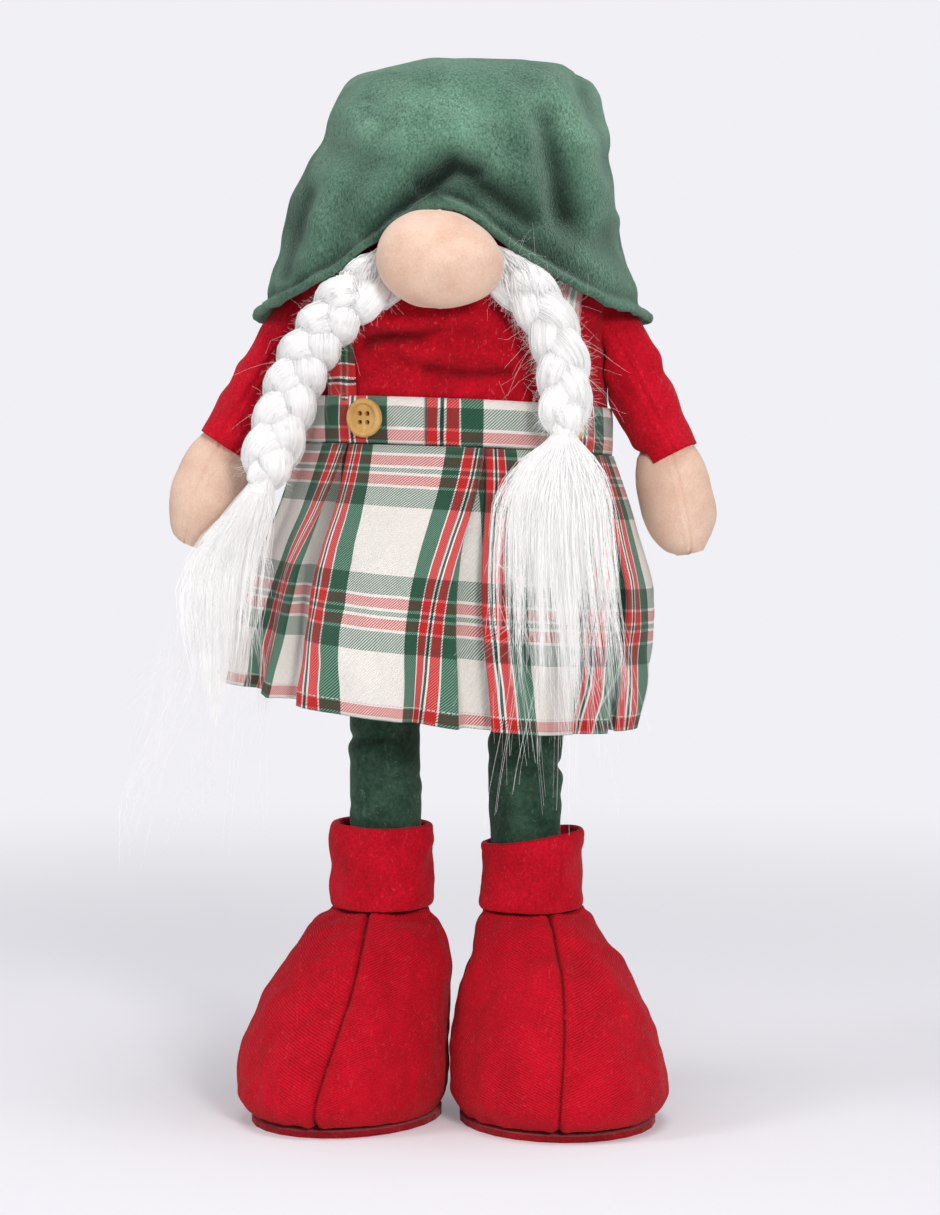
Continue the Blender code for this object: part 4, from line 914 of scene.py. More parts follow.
BAND_TOP, BAND_HEIGHT, BAND_CLOTH, BAND_FIT = 336.5, 22.0, 2.0, 0.5
BAND_LEAN = (-0.034, -0.070)  # rise of its top edge along x and y
BAND_RADIUS = 68.0  # mean radius, which turns its angles into lengths of cloth
BAND_JOIN = -6.8  # where its two ends meet, left of the middle of the front
BAND_SHIFTS = (42.0, 0.6)
BAND_WEFT = 22.4  # from the band's top to the middle of a crosswise set
# Share of the way down, middle x, half width and half depth of the skirt without its pleats.
SKIRT = [
    (0, 0, 74.8, 63.2), (0.25, 2, 84, 73), (0.5, 0.5, 93, 82), (0.75, -5.5, 96.5, 88), (1, -13, 97.5, 91),
]
SKIRT_LENGTH = 131.0
HEM, HEM_LEAN = 197.0, (-11.5, -2.5)
SKIRT_WARP = 7.1  # from the first pleat's left fold to the middle of a lengthwise set
SKIRT_CLOTH = 0.7
PLEAT_CLOTH = 2 * CHECK
# Left fold of each pleat by angle, at the waist, half way down and at the hem. The second is the
# front panel.
PLEAT_FOLDS = [
    (-90.4, -94.0, -98.0), (-39.0, -40.5, -33.6), (13.5, 10.9, 21.9), (64.7, 61.9, 69.0),
    (115.9, 112.9, 116.0), (167.2, 163.9, 165.0), (218.4, 214.9, 214.0),
]
PLEATS = len(PLEAT_FOLDS)
# Across one pleat: millimetres of cloth from its left fold, then for the waist, half way down and
# the hem the share of the way to the next fold, and the millimetres that it lies inwards.
PLEAT_SHAPE = [
    (0, 0.02, 0.9, 0.00, 0.8, 0.000, 1.0),
    (7, 0.10, 0.3, 0.06, -0.6, 0.083, -1.0),
    (16, 0.17, 0.0, 0.155, -1.0, 0.18, -2.0),
    (25, 0.25, 0.0, 0.263, -0.6, 0.276, -2.2),
    (42, 0.49, 0.0, 0.455, 0.4, 0.44, -0.8),
    (58, 0.76, 0.0, 0.628, 0.6, 0.568, 1.5),
    (67, 0.87, 0.0, 0.70, 0.4, 0.605, 5.0),
    (76, 0.975, 0.0, 0.776, 0.0, 0.645, 5.5),
    (84, 1.035, 0.3, 0.845, -0.8, 0.735, 1.5),
    (92, 0.93, 1.1, 0.885, 0.2, 0.84, -1.2),
    (100, 0.80, 1.3, 0.865, 4.0, 0.855, 3.5),
    (108, 0.69, 1.6, 0.84, 6.5, 0.89, 9.0),
    (118, 0.80, 2.1, 0.92, 7.0, 1.02, 9.8),
    (128, 0.95, 2.1, 1.06, 5.5, 1.11, 7.0),
    (134, 1.03, 1.8, 1.07, 3.2, 1.08, 4.0),
    (138, 1.02, 0.9, 1.00, 0.8, 1.00, 1.0),
]
UNDER_FOLD = 1.28  # share of the shape above to which the folds are pressed in


def band_top(x, y):
    return BAND_TOP + BAND_LEAN[0] * x + BAND_LEAN[1] * y


def rounded_strip(width, thickness, rows=11):
    """Outward offsets and distances across a strip's section, out over its face and back behind it."""
    across = np.linspace(0.0, 1.0, rows)
    bulge = thickness * (0.55 + 0.45 * np.sqrt(np.sin(math.pi * np.clip(across, 0.02, 0.98))))
    face = np.stack([bulge, across * width], axis=1)
    back = np.stack([np.zeros(3), np.array((0.97, 0.5, 0.03)) * width], axis=1)
    return np.concatenate([face, back])


def make_waistband():
    columns = 260
    turns = circle(columns)
    half_width, half_depth = (half + BAND_FIT for half in body_half(BAND_TOP))
    section = rounded_strip(BAND_HEIGHT, BAND_CLOTH)
    rows = []
    for out, down in section[::-1]:
        xs, ys = oval(turns, half_width + out, half_depth + out)
        rows.append(np.stack([xs, ys, band_top(xs, ys) - down], axis=1))
    grid = np.array(rows)
    grid = grid + normals_of(grid) * (0.22 * ripple(grid, 15.0, 31))[:, :, None]
    degrees = np.degrees(np.linspace(0.0, 2 * math.pi, columns + 1))
    arc = np.radians(np.where(degrees > 180, degrees - 360, degrees)) * BAND_RADIUS
    # The check doesn't match at the join.
    arc = arc + np.where(arc > BAND_JOIN, BAND_SHIFTS[1], BAND_SHIFTS[0])
    downs = np.concatenate([section[::-1, 1], section[-1:, 1]])
    band = grid_piece("waistband", grid, CHECKED, arc, downs - BAND_WEFT, closed=True)
    dress(band, "checked_cotton", "waistband")


def pleat_levels(cloth):
    """Ways across and inwards of each spot of one pleat's cloth, at the waist, half way and hem."""
    table = np.array(PLEAT_SHAPE, float)
    columns = [np.interp(cloth, table[:, 0], table[:, part]) for part in range(1, table.shape[1])]
    return np.array(columns).reshape(3, 2, -1)


def skirt_grid(shares, cloth):
    """Rings of the pleated skirt from the waistband to the hem."""
    levels = pleat_levels(cloth)
    folds = np.radians([*PLEAT_FOLDS, tuple(360 + turn for turn in PLEAT_FOLDS[0])])
    grid = []
    for share, x, half_width, half_depth in evenly(SKIRT, len(shares)):
        across, inward = through(levels, [2 * share])[0]
        lefts = through(folds.T, [2 * share])[0]
        pleats = [left + across * (right - left) for left, right in zip(lefts[:-1], lefts[1:])]
        turn = np.concatenate(pleats)
        inward = UNDER_FOLD * np.tile(inward, PLEATS)
        xs, ys = x + np.sin(turn) * (half_width - inward), -np.cos(turn) * (half_depth - inward)
        hem = HEM + HEM_LEAN[0] * np.sin(turn) + HEM_LEAN[1] * np.cos(turn)
        top = band_top(xs, ys) - BAND_HEIGHT - 0.2
        grid.append(np.stack([xs, ys, top + share * (hem - top)], axis=1))
    grid = np.array(grid)
    out = unit(grid * (1.0, 1.0, 0.0))
    low = step(shares, 0.05, 0.8)[:, None]
    soft = 1.5 * ripple(grid * (1.0, 1.0, 0.5), 34.0, 41) + 0.5 * ripple(grid * (1.0, 1.0, 0.7), 14.0, 42)
    return blur(grid + out * (low * soft)[:, :, None], 1)


def make_skirt():
    rows, columns = 43, 84
    shares = np.linspace(0.0, 1.0, rows)
    cloth = np.linspace(0.0, PLEAT_CLOTH, columns, endpoint=False)
    grid = skirt_grid(shares, cloth)[::-1]
    us = np.append(np.arange(PLEATS)[:, None] * PLEAT_CLOTH + cloth, PLEATS * PLEAT_CLOTH)
    downs = SKIRT_LENGTH * shares[::-1]
    skirt = grid_piece("skirt", grid, SKIRT_CHECK, us - SKIRT_WARP, downs - FIRST_WEFT)
    wall = skirt.modifiers.new("cloth", "SOLIDIFY")
    wall.thickness = SKIRT_CLOTH * MM
    wall.offset = -1.0
    apply_modifiers(skirt)
    dress(skirt, "checked_cotton", "skirt")


STRAP_WIDTH, STRAP_CLOTH, STRAP_FIT = 16.0, 1.4, 0.6
STRAP_CHECK = (10.0, 9.0)  # where the check starts, across and along a strap
# Angle round the body and height of a strap's middle. The fronts differ, the rest is shared.
STRAP_FRONTS = {
    "left": [(41.5, None), (40.5, 368), (36, 392), (57, 405)],
    "right": [(50, None), (46, 368), (50, 392), (64, 405)],
}
STRAP_BACK = [(90, 410), (122, 406), (146, 385), (146, None)]


def on_body(turn, height, out):
    """The spot so far out from the body's surface, and the surface's normal there."""
    half_width, half_depth = body_half(height)
    across, along = math.sin(turn), math.cos(turn)
    normal = unit(np.array((across * half_depth, -along * half_width, 0.0)))
    return np.array((half_width * across, -half_depth * along, height)) + out * normal, normal


def strap_route(side, count):
    """Angle and height of a strap's middle, from its front foot to its back one."""
    knots = []
    for turn, height in STRAP_FRONTS[side] + STRAP_BACK:
        turn = math.radians(SIDES[side] * turn)
        if height is None:
            foot, _ = on_body(turn, BAND_TOP, BAND_FIT + BAND_CLOTH)
            height = band_top(foot[0], foot[1]) - 2.0
        knots.append((turn, height))
    return evenly(knots, count)


def make_straps():
    count = 90
    for side in SIDES:
        route = strap_route(side, count)
        middles = np.array([on_body(turn, height, 0.0)[0] for turn, height in route])
        course = np.gradient(middles, axis=0)
        lengths = np.concatenate([[0], np.cumsum(np.linalg.norm(np.diff(middles, axis=0), axis=1))])
        section = rounded_strip(STRAP_WIDTH, STRAP_CLOTH)
        columns = []
        for place in range(count):
            turn, height = route[place]
            _, normal = on_body(turn, height, 0.0)
            edge = unit(np.cross(course[place], normal))
            curl = 1.0 + 0.10 * math.sin(lengths[place] / 6.0)
            ring = []
            for out, across in section:
                spot = middles[place] + (across - STRAP_WIDTH / 2) * curl * edge
                half_width, half_depth = body_half(spot[2])
                spot_turn = math.atan2(spot[0] / half_width, -spot[1] / half_depth)
                ring.append(on_body(spot_turn, spot[2], STRAP_FIT + out)[0])
            columns.append(ring)
        grid = np.array(columns)
        grid = grid + 0.25 * ripple(grid, 12.0, 51)[:, :, None]
        acrosses = np.concatenate([section[:, 1], section[:1, 1]])
        us, vs = acrosses - STRAP_CHECK[0], lengths - STRAP_CHECK[1]
        strap = grid_piece(f"{side}_strap", grid, CHECKED, us, vs)
        layer = strap.data.uv_layers[0].data
        uvs = np.zeros(len(layer) * 2)
        layer.foreach_get("uv", uvs)
        layer.foreach_set("uv", uvs.reshape(-1, 2)[:, ::-1].ravel())
        dress(strap, "checked_cotton", f"{side}_strap")


BUTTON = {"radius": 9.0, "height": 4.0, "dish": 1.3, "rim": 2.1, "hole": 1.15, "pitch": 2.0}
BUTTON_X = {"left": -35.5, "right": 54.0}
BUTTON_DROP, BUTTON_STAND_OFF = 10.0, 0.9  # below the band's top, and out from its cloth


def button_profile():
    """Radius and height along the button's section, from the middle of its face to that of its back."""
    radius, height = BUTTON["radius"], BUTTON["height"]
    floor, rim = height - BUTTON["dish"], radius - BUTTON["rim"]
    face = [(0.0, floor), (3.6, floor), (rim - 0.9, floor), (rim, height - 0.1)]
    edge = [(radius - 1.1, height), (radius - 0.2, height - 0.7), (radius, height - 1.5)]
    back = [(radius - 0.2, 0.9), (radius - 1.2, 0.2), (0.0, 0.0)]
    return face + edge + back


def make_drill(name, across, up):
    """A rod that cuts one of the four holes."""
    ring = np.stack([np.cos(circle(14)), np.sin(circle(14))], axis=1) * BUTTON["hole"]
    ring = ring + np.array((across, up)) * BUTTON["pitch"]
    count = len(ring)
    ends = [np.column_stack([ring, np.full(count, height)]) for height in (-2.0, 8.0)]
    faces = [tuple(range(count))[::-1], tuple(range(count, 2 * count))]
    faces += [(i, (i + 1) % count, (i + 1) % count + count, i + count) for i in range(count)]
    mesh = bpy.data.meshes.new(name)
    mesh.from_pydata([tuple(point * MM) for point in np.concatenate(ends)], [], faces)
    return link(bpy.data.objects.new(name, mesh))


def make_button(side):
    """The turned button with its four holes, its back on the origin."""
    profile = button_profile()
    mesh = bpy.data.meshes.new(f"{side}_button")
    edges = [(i, i + 1) for i in range(len(profile) - 1)]
    mesh.from_pydata([(x * MM, 0.0, z * MM) for x, z in profile], edges, [])
    button = link(bpy.data.objects.new(f"{side}_button", mesh))
    screw = button.modifiers.new("turned", "SCREW")
    screw.steps = screw.render_steps = 56
    screw.use_merge_vertices = True
    screw.merge_threshold = 0.00001
    drills = [make_drill(f"{side}_drill", across, up) for across in (-1, 1) for up in (-1, 1)]
    for drill in drills:
        cut = button.modifiers.new("hole", "BOOLEAN")
        cut.object, cut.solver = drill, "EXACT"
    apply_modifiers(button, BUTTON_WOOD)
    for drill in drills:
        bpy.data.objects.remove(drill)
    button.data.set_sharp_from_angle(angle=math.radians(35))
    return button


def make_buttons():
    for side in SIDES:
        button = make_button(side)
        half_width, half_depth = (half + BAND_FIT + BAND_CLOTH for half in body_half(BAND_TOP))
        across = BUTTON_X[side] / half_width
        along = math.sqrt(1.0 - across**2)
        normal = unit(np.array((across * half_depth, -along * half_width, 0.0)))
        spot = np.array((half_width * across, -half_depth * along, 0.0))
        spot[2] = band_top(spot[0], spot[1]) - BUTTON_DROP
        button.location = Vector(world(spot + BUTTON_STAND_OFF * normal))
        button.rotation_euler = Vector(normal).to_track_quat("Z", "Y").to_euler()
        dress(button, "button_wood", f"{side}_button")


# Legs and boots

LEG_X, LEG_RADIUS = 33.5, 17.0
LEG_LOW, LEG_HIGH = 97.4, 204.6
BOOT_TOP = 97.0
# Height, depth, slope and middle angle of the creases of each stocking.
LEG_CREASES = {
    "left": [(180, 1.6, 2.0, -60), (163, 0.8, -3.0, 40), (148, 0.7, 2.0, -20)],
    "right": [(167, 2.0, -2.0, 60), (184, 0.9, 2.5, -50), (150, 0.8, 1.0, 20)],
}
BOOT_SEAMS = {"left": (-0.27, 0.02), "right": (0.16, 0.34)}  # angle of the front seam, below and above
EDGE_TUCK = 4.0  # how far the boot rounds in towards its sole
BOOT_MIDDLES = {"left": (-40.0, -11.0), "right": (43.0, -11.0)}
CUFFS = {"left": (35.5, 40.0), "right": (36.5, 35.0)}  # distance of the middle from x 0, and height
CUFF_LEANS = {"left": 1.0, "right": -7.0}  # how much lower the top is at +X than at -X
SOLE_SHARE, SOLE_EDGE = 0.93, 0.9  # share of the CAD sole's width, and its rounded edge


def make_legs():
    columns = 72
    turns = circle(columns)
    for side, sign in SIDES.items():
        xs, ys = oval(turns, LEG_RADIUS, LEG_RADIUS, sign * LEG_X)
        heights = np.linspace(LEG_LOW, LEG_HIGH, 90)
        grid = np.array([np.stack([xs, ys, np.full(columns, z)], axis=1) for z in heights])
        lift = np.zeros(grid.shape[:2])
        for height, depth, lean, middle in LEG_CREASES[side]:
            line = height + lean * np.sin(turns)
            reach = np.exp(np.cos(turns - math.radians(middle)) - 1.0)
            crease = bell(grid[:, :, 2], line, 2.4) - 0.6 * bell(grid[:, :, 2], line - 5.5, 4.0)
            lift -= depth * reach * crease
        lift += 0.7 * ripple(grid * (1.0, 1.0, 0.6), 22.0, 60 + sign)
        leg = closed_piece(f"{side}_leg", grid + normals_of(grid) * lift[:, :, None], GREEN_FELT)
        dress(leg, "green_felt", f"{side}_leg")


def make_boots():
    for side in SIDES:
        make_boot(side)
        make_cuff(side)
        make_sole(side)


def make_boot(side):
    """The stuffed felt boot with its sewn front seam, from which the UVs of its ribs count."""
    x, y = BOOT_MIDDLES[side]
    grid = wrapped(f"{side}_boot", (x, y, 3.5), (x, y, 96.9), 90, 260, 1.3)[0]
    if np.sum(normals_of(grid) * (grid - (x, y, 50.0))) < 0:
        grid = grid[:, ::-1]
    grid = blur(grid, 18)
    heights = grid[:, :, 2]
    low_turn, high_turn = BOOT_SEAMS[side]
    seam_turn = low_turn + (high_turn - low_turn) * step(heights, 0.0, 110.0)
    angle = np.arctan2(grid[:, :, 0] - x, -(grid[:, :, 1] - y)) - seam_turn
    reach = np.hypot(grid[:, :, 0] - x, grid[:, :, 1] - y)
    across = np.where(np.abs(angle) < math.pi, angle, angle - np.sign(angle) * 2 * math.pi) * reach
    lift = 0.6 * bell(np.abs(across), 4.0, 2.2) - 1.5 * bell(across, 0.0, 1.2) - bell(across, 0.0, 1.4)
    lift += 0.9 * ripple(grid, 34.0, 70 + SIDES[side]) * step(heights, 8.0, 26.0)
    lift += 0.35 * ripple(grid, 13.0, 72 + SIDES[side])
    lift -= EDGE_TUCK * (1.0 - step(heights, 1.0, 15.0))
    lift -= 1.4 * bell(heights, 95.5, 2.5)
    points, faces = closed_rings(grid + normals_of(grid) * lift[:, :, None])
    us = np.append(across, [0.0, 0.0])
    vs = np.append(heights, [3.0, 97.0])
    uvs = np.stack([us[faces], vs[faces]], axis=-1).reshape(-1, 2) * MM
    boot = mesh_piece(f"{side}_boot", world(points), faces, uvs, BOOT_FELT)
    dress(boot, "red_felt", f"{side}_boot")


def make_cuff(side):
    """The folded cuff: a thick ring of felt, open to the leg inside it."""
    x, height = CUFFS[side]
    columns = 96
    turns = circle(columns)
    low = [(24.2, 0.6), (24.9, 2.0), (25.1, 5.0), (24.7, 12.0)]
    outer = [*low, (24.2, 20.0), (24.0, 30.0), (24.2, height - 3.0)]
    rim = [(23.8, height - 0.9), (22.6, height), (21.0, height - 0.4), (20.2, height - 2.2)]
    inner = [(19.8, height - 8.0), (19.6, 12.0), (20.0, 1.2), (22.0, 0.2)]
    profile = evenly([*outer, *rim, *inner, outer[0]], 64)[:-1]
    rows = []
    for radius, rise in profile:
        xs, ys = oval(turns, radius, radius, x * SIDES[side])
        tilt = -0.5 * CUFF_LEANS[side] * np.sin(turns) * step(rise / height, 0.35, 1.0)
        rows.append(np.stack([xs, ys, BOOT_TOP + 0.2 + rise + tilt], axis=1))
    grid = np.array(rows)
    soft = 0.8 * ripple(grid, 26.0, 80 + len(side)) + 0.25 * ripple(grid, 9.0, 82)
    out = np.stack([np.sin(turns), -np.cos(turns), np.zeros(columns)], axis=1)
    grid = grid + out[None] * soft[:, :, None]
    cuff = grid_piece(f"{side}_boot_cuff", grid, RED_FELT, closed=True)
    dress(cuff, "red_felt", f"{side}_boot_cuff")


def make_sole(side):
    """The CAD sole again, a little smaller, with a rounded edge."""
    mesh = NODES[f"{side}_sole"].data.copy()
    sole = link(bpy.data.objects.new(f"{side}_boot_sole", mesh))
    mesh.materials.clear()
    mesh.materials.append(SOLE_FELT)
    x, y, _ = world((*BOOT_MIDDLES[side], 0.0))
    for vertex in mesh.vertices:
        vertex.co.x = x + SOLE_SHARE * (vertex.co.x - x)
        vertex.co.y = y + SOLE_SHARE * (vertex.co.y - y)
    edge = sole.modifiers.new("edge", "BEVEL")
    edge.width = SOLE_EDGE * MM
    edge.segments = 3
    edge.limit_method = "ANGLE"
    apply_modifiers(sole)
    dress(sole, "sole_felt", f"{side}_sole")


# Hair

# Middle line of each plait, from beside the nose to the tie.
PLAITS = {
    "left": [
        (-25.5, -58, 396.5), (-34, -66.5, 391.5), (-47.5, -63, 381),
        (-65.5, -49, 357.5), (-76.5, -42, 330), (-86.5, -42, 300),
    ],
    "right": [
        (26, -58, 397.5), (36.5, -67, 391), (46.5, -66, 379),
        (53.5, -64, 361), (55.5, -64, 343), (55, -68, 324),
    ],
}
PLAIT_PERIOD = 50.0  # length in which a lock comes back to its place
LOCKS, LOCK_RINGS, LOCK_COLUMNS, LOCK_STRANDS = 3, 110, 26, 46
# Swing sideways and front to back, and half width and thickness of a lock.
PLAIT_SIZES = {"left": (5.9, 4.0, 7.7, 5.0), "right": (5.1, 3.7, 7.0, 4.8)}
# x, y, z, half width and half thickness down the dense part of each tassel.
TASSELS = {
    "left": [
        (-92, -42.5, 286, 10, 8.5), (-99.5, -44.5, 272, 17, 10), (-103.5, -54, 252, 21, 10.5),
        (-103, -63.5, 228, 18.5, 9.5), (-103, -67, 207, 12, 7), (-104, -70, 190, 5, 4),
    ],
    "right": [
        (52.5, -71.5, 309, 13, 9), (50, -77, 294, 23, 10.5), (50.5, -84.5, 268, 29, 10.5),
        (52.5, -90.5, 238, 27.5, 10), (52, -95, 212, 18, 8), (50, -97, 188, 8, 5),
    ],
}
# The same for all of its hair, which spreads wider at the right.
TASSEL_SPREAD = {
    "left": TASSELS["left"],
    "right": [
        (52.5, -71.5, 310, 19, 10), (51, -77, 294, 28, 10.5), (51.5, -84, 268, 31, 10.5),
        (54, -90, 238, 34, 10), (56, -94, 208, 35, 8.5), (57, -96, 180, 34, 7),
    ],
}
TASSEL_ROWS, CORE_ROWS = 60, 34
# Number of clumps and strands, and the heights between which loose hairs end.
TASSEL_HAIRS = {"left": (60, 2400, 128, 225), "right": (90, 3000, 150, 230)}
FLYAWAYS = {"left": 1500, "right": 2800}
ROOT_HAIRS, WISP_GROUPS = 620, 34
FARTHEST_LEFT, FARTHEST_RIGHT = -150.0, 140.0  # how far out a wisp may reach


def sweep(name, paths, radii, material, sides=3):
    """One piece of thin tapered tubes along paths, all in millimetres."""
    paths, radii = world(paths), np.asarray(radii) * MM
    count, length = paths.shape[:2]
    course = unit(np.gradient(paths, axis=1))
    across = unit(np.cross(course, (0.23, 0.94, 0.25)))
    out = np.cross(across, course)
    turns = circle(sides)[:, None]
    ring = np.cos(turns) * across[:, :, None, :] + np.sin(turns) * out[:, :, None, :]
    points = paths[:, :, None, :] + radii[:, :, None, None] * ring
    one = grid_faces(length, sides, around=True)
    faces = (one[None] + np.arange(count)[:, None, None] * length * sides).reshape(-1, 4)
    return mesh_piece(name, points.reshape(-1, 3), faces, None, material)


def route_frames(knots, count):
    """Lengths, spots, courses, sideways and forward ways at even steps along the knots' curve."""
    fine = evenly(knots, 600)
    lengths = np.concatenate([[0.0], np.cumsum(np.linalg.norm(np.diff(fine, axis=0), axis=1))])
    places = np.linspace(0.0, lengths[-1], count)
    points = np.stack([np.interp(places, lengths, fine[:, axis]) for axis in range(3)], axis=1)
    course = unit(np.gradient(points, axis=0))
    side = unit(np.cross(course, (0.0, -1.0, 0.0)))
    return places, points, course, side, np.cross(side, course)


def lock_paths(side, lock):
    """Lengths, middle line, wide and deep ways and tightness of one of the three locks."""
    places, points, _, across, front = route_frames(PLAITS[side], LOCK_RINGS)
    swing = 2 * math.pi * (places / PLAIT_PERIOD + lock / LOCKS)
    end = places[-1]
    close = 1.0 - 0.45 * step(places, end - 12.0, end) - 0.15 * step(-places, -8.0, 0.0)
    wide_swing, rise = PLAIT_SIZES[side][:2]
    x, y = wide_swing * np.sin(swing) * close, rise * np.sin(2 * swing) * close
    middle = points + x[:, None] * across + y[:, None] * front
    way = unit(np.gradient(middle, axis=0))
    wide = unit(np.cross(way, front))
    deep = np.cross(wide, way)
    deep *= np.sign(np.sum(deep * front, axis=1, keepdims=True))
    return places, middle, wide, deep, close


def lock_grid(lock, places, middle, wide, deep):
    """Rings of one combed lock, from ways as long as its half width and half thickness."""
    turns = circle(LOCK_COLUMNS)
    ring = np.cos(turns)[None, :, None] * wide[:, None] + np.sin(turns)[None, :, None] * deep[:, None]
    spots = np.broadcast_arrays(places[:, None] * 0.15, 9 * np.cos(turns)[None], 9 * np.sin(turns)[None])
    comb = 0.35 * np.sin(turns * 9 + lock)[None, :] + 0.5 * ripple(np.stack(spots, axis=-1), 6.0, 90 + lock)
    return middle[:, None] + ring * (1.0 + 0.07 * comb)[:, :, None]


def lock_strands(places, middle, wide, deep):
    """Paths and radii of the strands that lie on a lock."""
    paths, radii = [], []
    for strand in range(LOCK_STRANDS):
        turn = 2 * math.pi * (strand + RANDOM.uniform(0, 1)) / LOCK_STRANDS
        drift = turn + 0.5 * np.sin(places / 19.0 + RANDOM.uniform(0, 6))
        drift += RANDOM.uniform(-0.5, 0.5) * places / places[-1]
        lift = 1.03 + 0.05 * np.sin(places / 7.0 + RANDOM.uniform(0, 6))
        path = middle + (np.cos(drift) * lift)[:, None] * wide + (np.sin(drift) * lift)[:, None] * deep
        paths.append(path[::3])
        radii.append(RANDOM.uniform(0.16, 0.34) * np.ones(len(path[::3])))
    return paths, radii


def ring_uvs(count, faces, columns, across, along):
    """UVs of the faces of closed rings, whose columns and rows are so many millimetres apart."""
    index = np.arange(count)
    us, vs = index % columns * across, index // columns * along
    return np.stack([us[faces], vs[faces]], axis=-1).reshape(-1, 2) * MM


def make_braid(side):
    """The three locks as one piece, the strands on them as another, and all that goes with them."""
    paths, radii, points, faces = [], [], [], []
    for lock in range(LOCKS):
        places, middle, wide, deep, close = lock_paths(side, lock)
        half_width, half_depth = PLAIT_SIZES[side][2:]
        wide, deep = wide * (half_width * close)[:, None], deep * (half_depth * close)[:, None]
        spots, triangles = closed_rings(lock_grid(lock, places, middle, wide, deep))
        points.append(spots)
        faces.append(triangles + lock * len(spots))
        more_paths, more_radii = lock_strands(places, middle, wide, deep)
        paths += more_paths
        radii += more_radii
    points, faces = np.concatenate(points), np.concatenate(faces)
    a_lock = len(points) // LOCKS
    uvs = ring_uvs(a_lock, faces % a_lock, LOCK_COLUMNS, 1.1, 0.8)
    dress(mesh_piece(f"{side}_braid", world(points), faces, uvs, HAIR), "white_hair", f"{side}_braid")
    dress(sweep(f"{side}_braid_strands", paths, radii, HAIR), "white_hair")
    make_roots(side)
    make_flyaways(side)
    make_tie(side)
    make_tassel(side)


def make_roots(side):
    """Hair that comes out from under the brim beside the nose and runs into the plait."""
    sign = SIDES[side]
    places, points, _, across, front = route_frames(PLAITS[side], 120)
    paths, radii = [], []
    for _ in range(ROOT_HAIRS):
        share = RANDOM.uniform()
        start = (sign * (17 + 30 * share), -62.0 + 5.0 * share, 413 - 17 * share - RANDOM.uniform(0, 3))
        start = np.array(start)
        at = np.searchsorted(places, 9 + 10 * share + RANDOM.uniform(0, 8))
        turn, reach = RANDOM.uniform(0, 2 * math.pi), 10.5 * math.sqrt(RANDOM.uniform())
        offset = reach * (math.cos(turn) * across[at] + 0.8 * math.sin(turn) * front[at])
        join, beyond = points[at] + offset, points[at + 9] + 0.8 * offset
        bend = (sign * RANDOM.uniform(-1, 2), -RANDOM.uniform(4, 9), RANDOM.uniform(0, 4))
        paths.append(evenly([start, (start + join) / 2 + bend, join, beyond], 8))
        radii.append(np.linspace(1.0, 0.6, 8) * RANDOM.uniform(0.14, 0.34))
    dress(sweep(f"{side}_braid_roots", paths, radii, HAIR), "white_hair")


def make_flyaways(side):
    """Loose hairs that stand out from a plait."""
    _, points, course, across, front = route_frames(PLAITS[side], 200)
    share = np.linspace(0.0, 1.0, 5)[:, None]
    paths, radii = [], []
    for _ in range(FLYAWAYS[side]):
        at = RANDOM.integers(4, 196)
        turn = RANDOM.uniform(-0.35, math.pi + 0.35) if RANDOM.uniform() < 0.9 else RANDOM.uniform(0, 6.28)
        out = math.cos(turn) * across[at] + math.sin(turn) * front[at] * 0.8
        start = points[at] + out * (10.0 if abs(math.cos(turn)) > 0.5 else 8.5)
        is_long = RANDOM.uniform() > 0.97
        long = RANDOM.uniform(10.0, 26.0) if is_long else RANDOM.uniform(2.5, 7.5)
        way = out * RANDOM.uniform(0.1, 1.0) + course[at] * RANDOM.uniform(-0.4, 1.2)
        way = unit(way + RANDOM.normal(size=3) * 0.3)
        aside = np.cross(way, RANDOM.normal(size=3)) * long
        curl = share**2 * RANDOM.uniform(0.2, 0.7)
        curl = curl + 0.12 * np.sin(share * math.pi * RANDOM.uniform(1.0, 2.2))
        sag = share**2 * (0, 0, 0.012 * long**2)
        paths.append(start - out * 1.2 + share * long * way + curl * aside - sag)
        radii.append(np.linspace(1.0, 0.4, 5) * RANDOM.uniform(0.035, 0.065))
    dress(sweep(f"{side}_braid_loose_hairs", paths, radii, LOOSE_HAIR), "white_hair")


def make_tie(side):
    """Thin elastic, wound four times round the end of the plait."""
    _, points, course, across, front = route_frames(PLAITS[side], 60)
    turns = np.linspace(0.0, 2 * math.pi * 4.0, 200)
    radius = 5.2 + 0.2 * np.sin(turns * 2.3)
    ring = np.cos(turns)[:, None] * across[-1] + np.sin(turns)[:, None] * front[-1]
    path = points[-1] + (1.6 + 2.6 * turns / turns[-1])[:, None] * course[-1] + radius[:, None] * ring
    tie = sweep(f"{side}_braid_tie", [path], np.full((1, 200), 0.75), HAIR, 8)
    dress(tie, "white_hair", f"{side}_braid_tie")


def disc(count):
    """Random spots, even over a disc of radius 1."""
    turns, reach = RANDOM.uniform(0, 2 * math.pi, count), np.sqrt(RANDOM.uniform(0, 1, count))
    return np.stack([np.cos(turns), np.sin(turns)], axis=1) * reach[:, None]


def tassel_sections(side, spread):
    """The tassel's middle, half width and half thickness at even steps, from inside the tie."""
    _, points, course, _, _ = route_frames(PLAITS[side], 60)
    end, way = points[-1], course[-1]
    knots = [(*(end - 3.5 * way), 6.4, 6.0), (*(end + 2.5 * way), 6.5, 6.1), *spread[side]]
    return evenly(knots, TASSEL_ROWS)


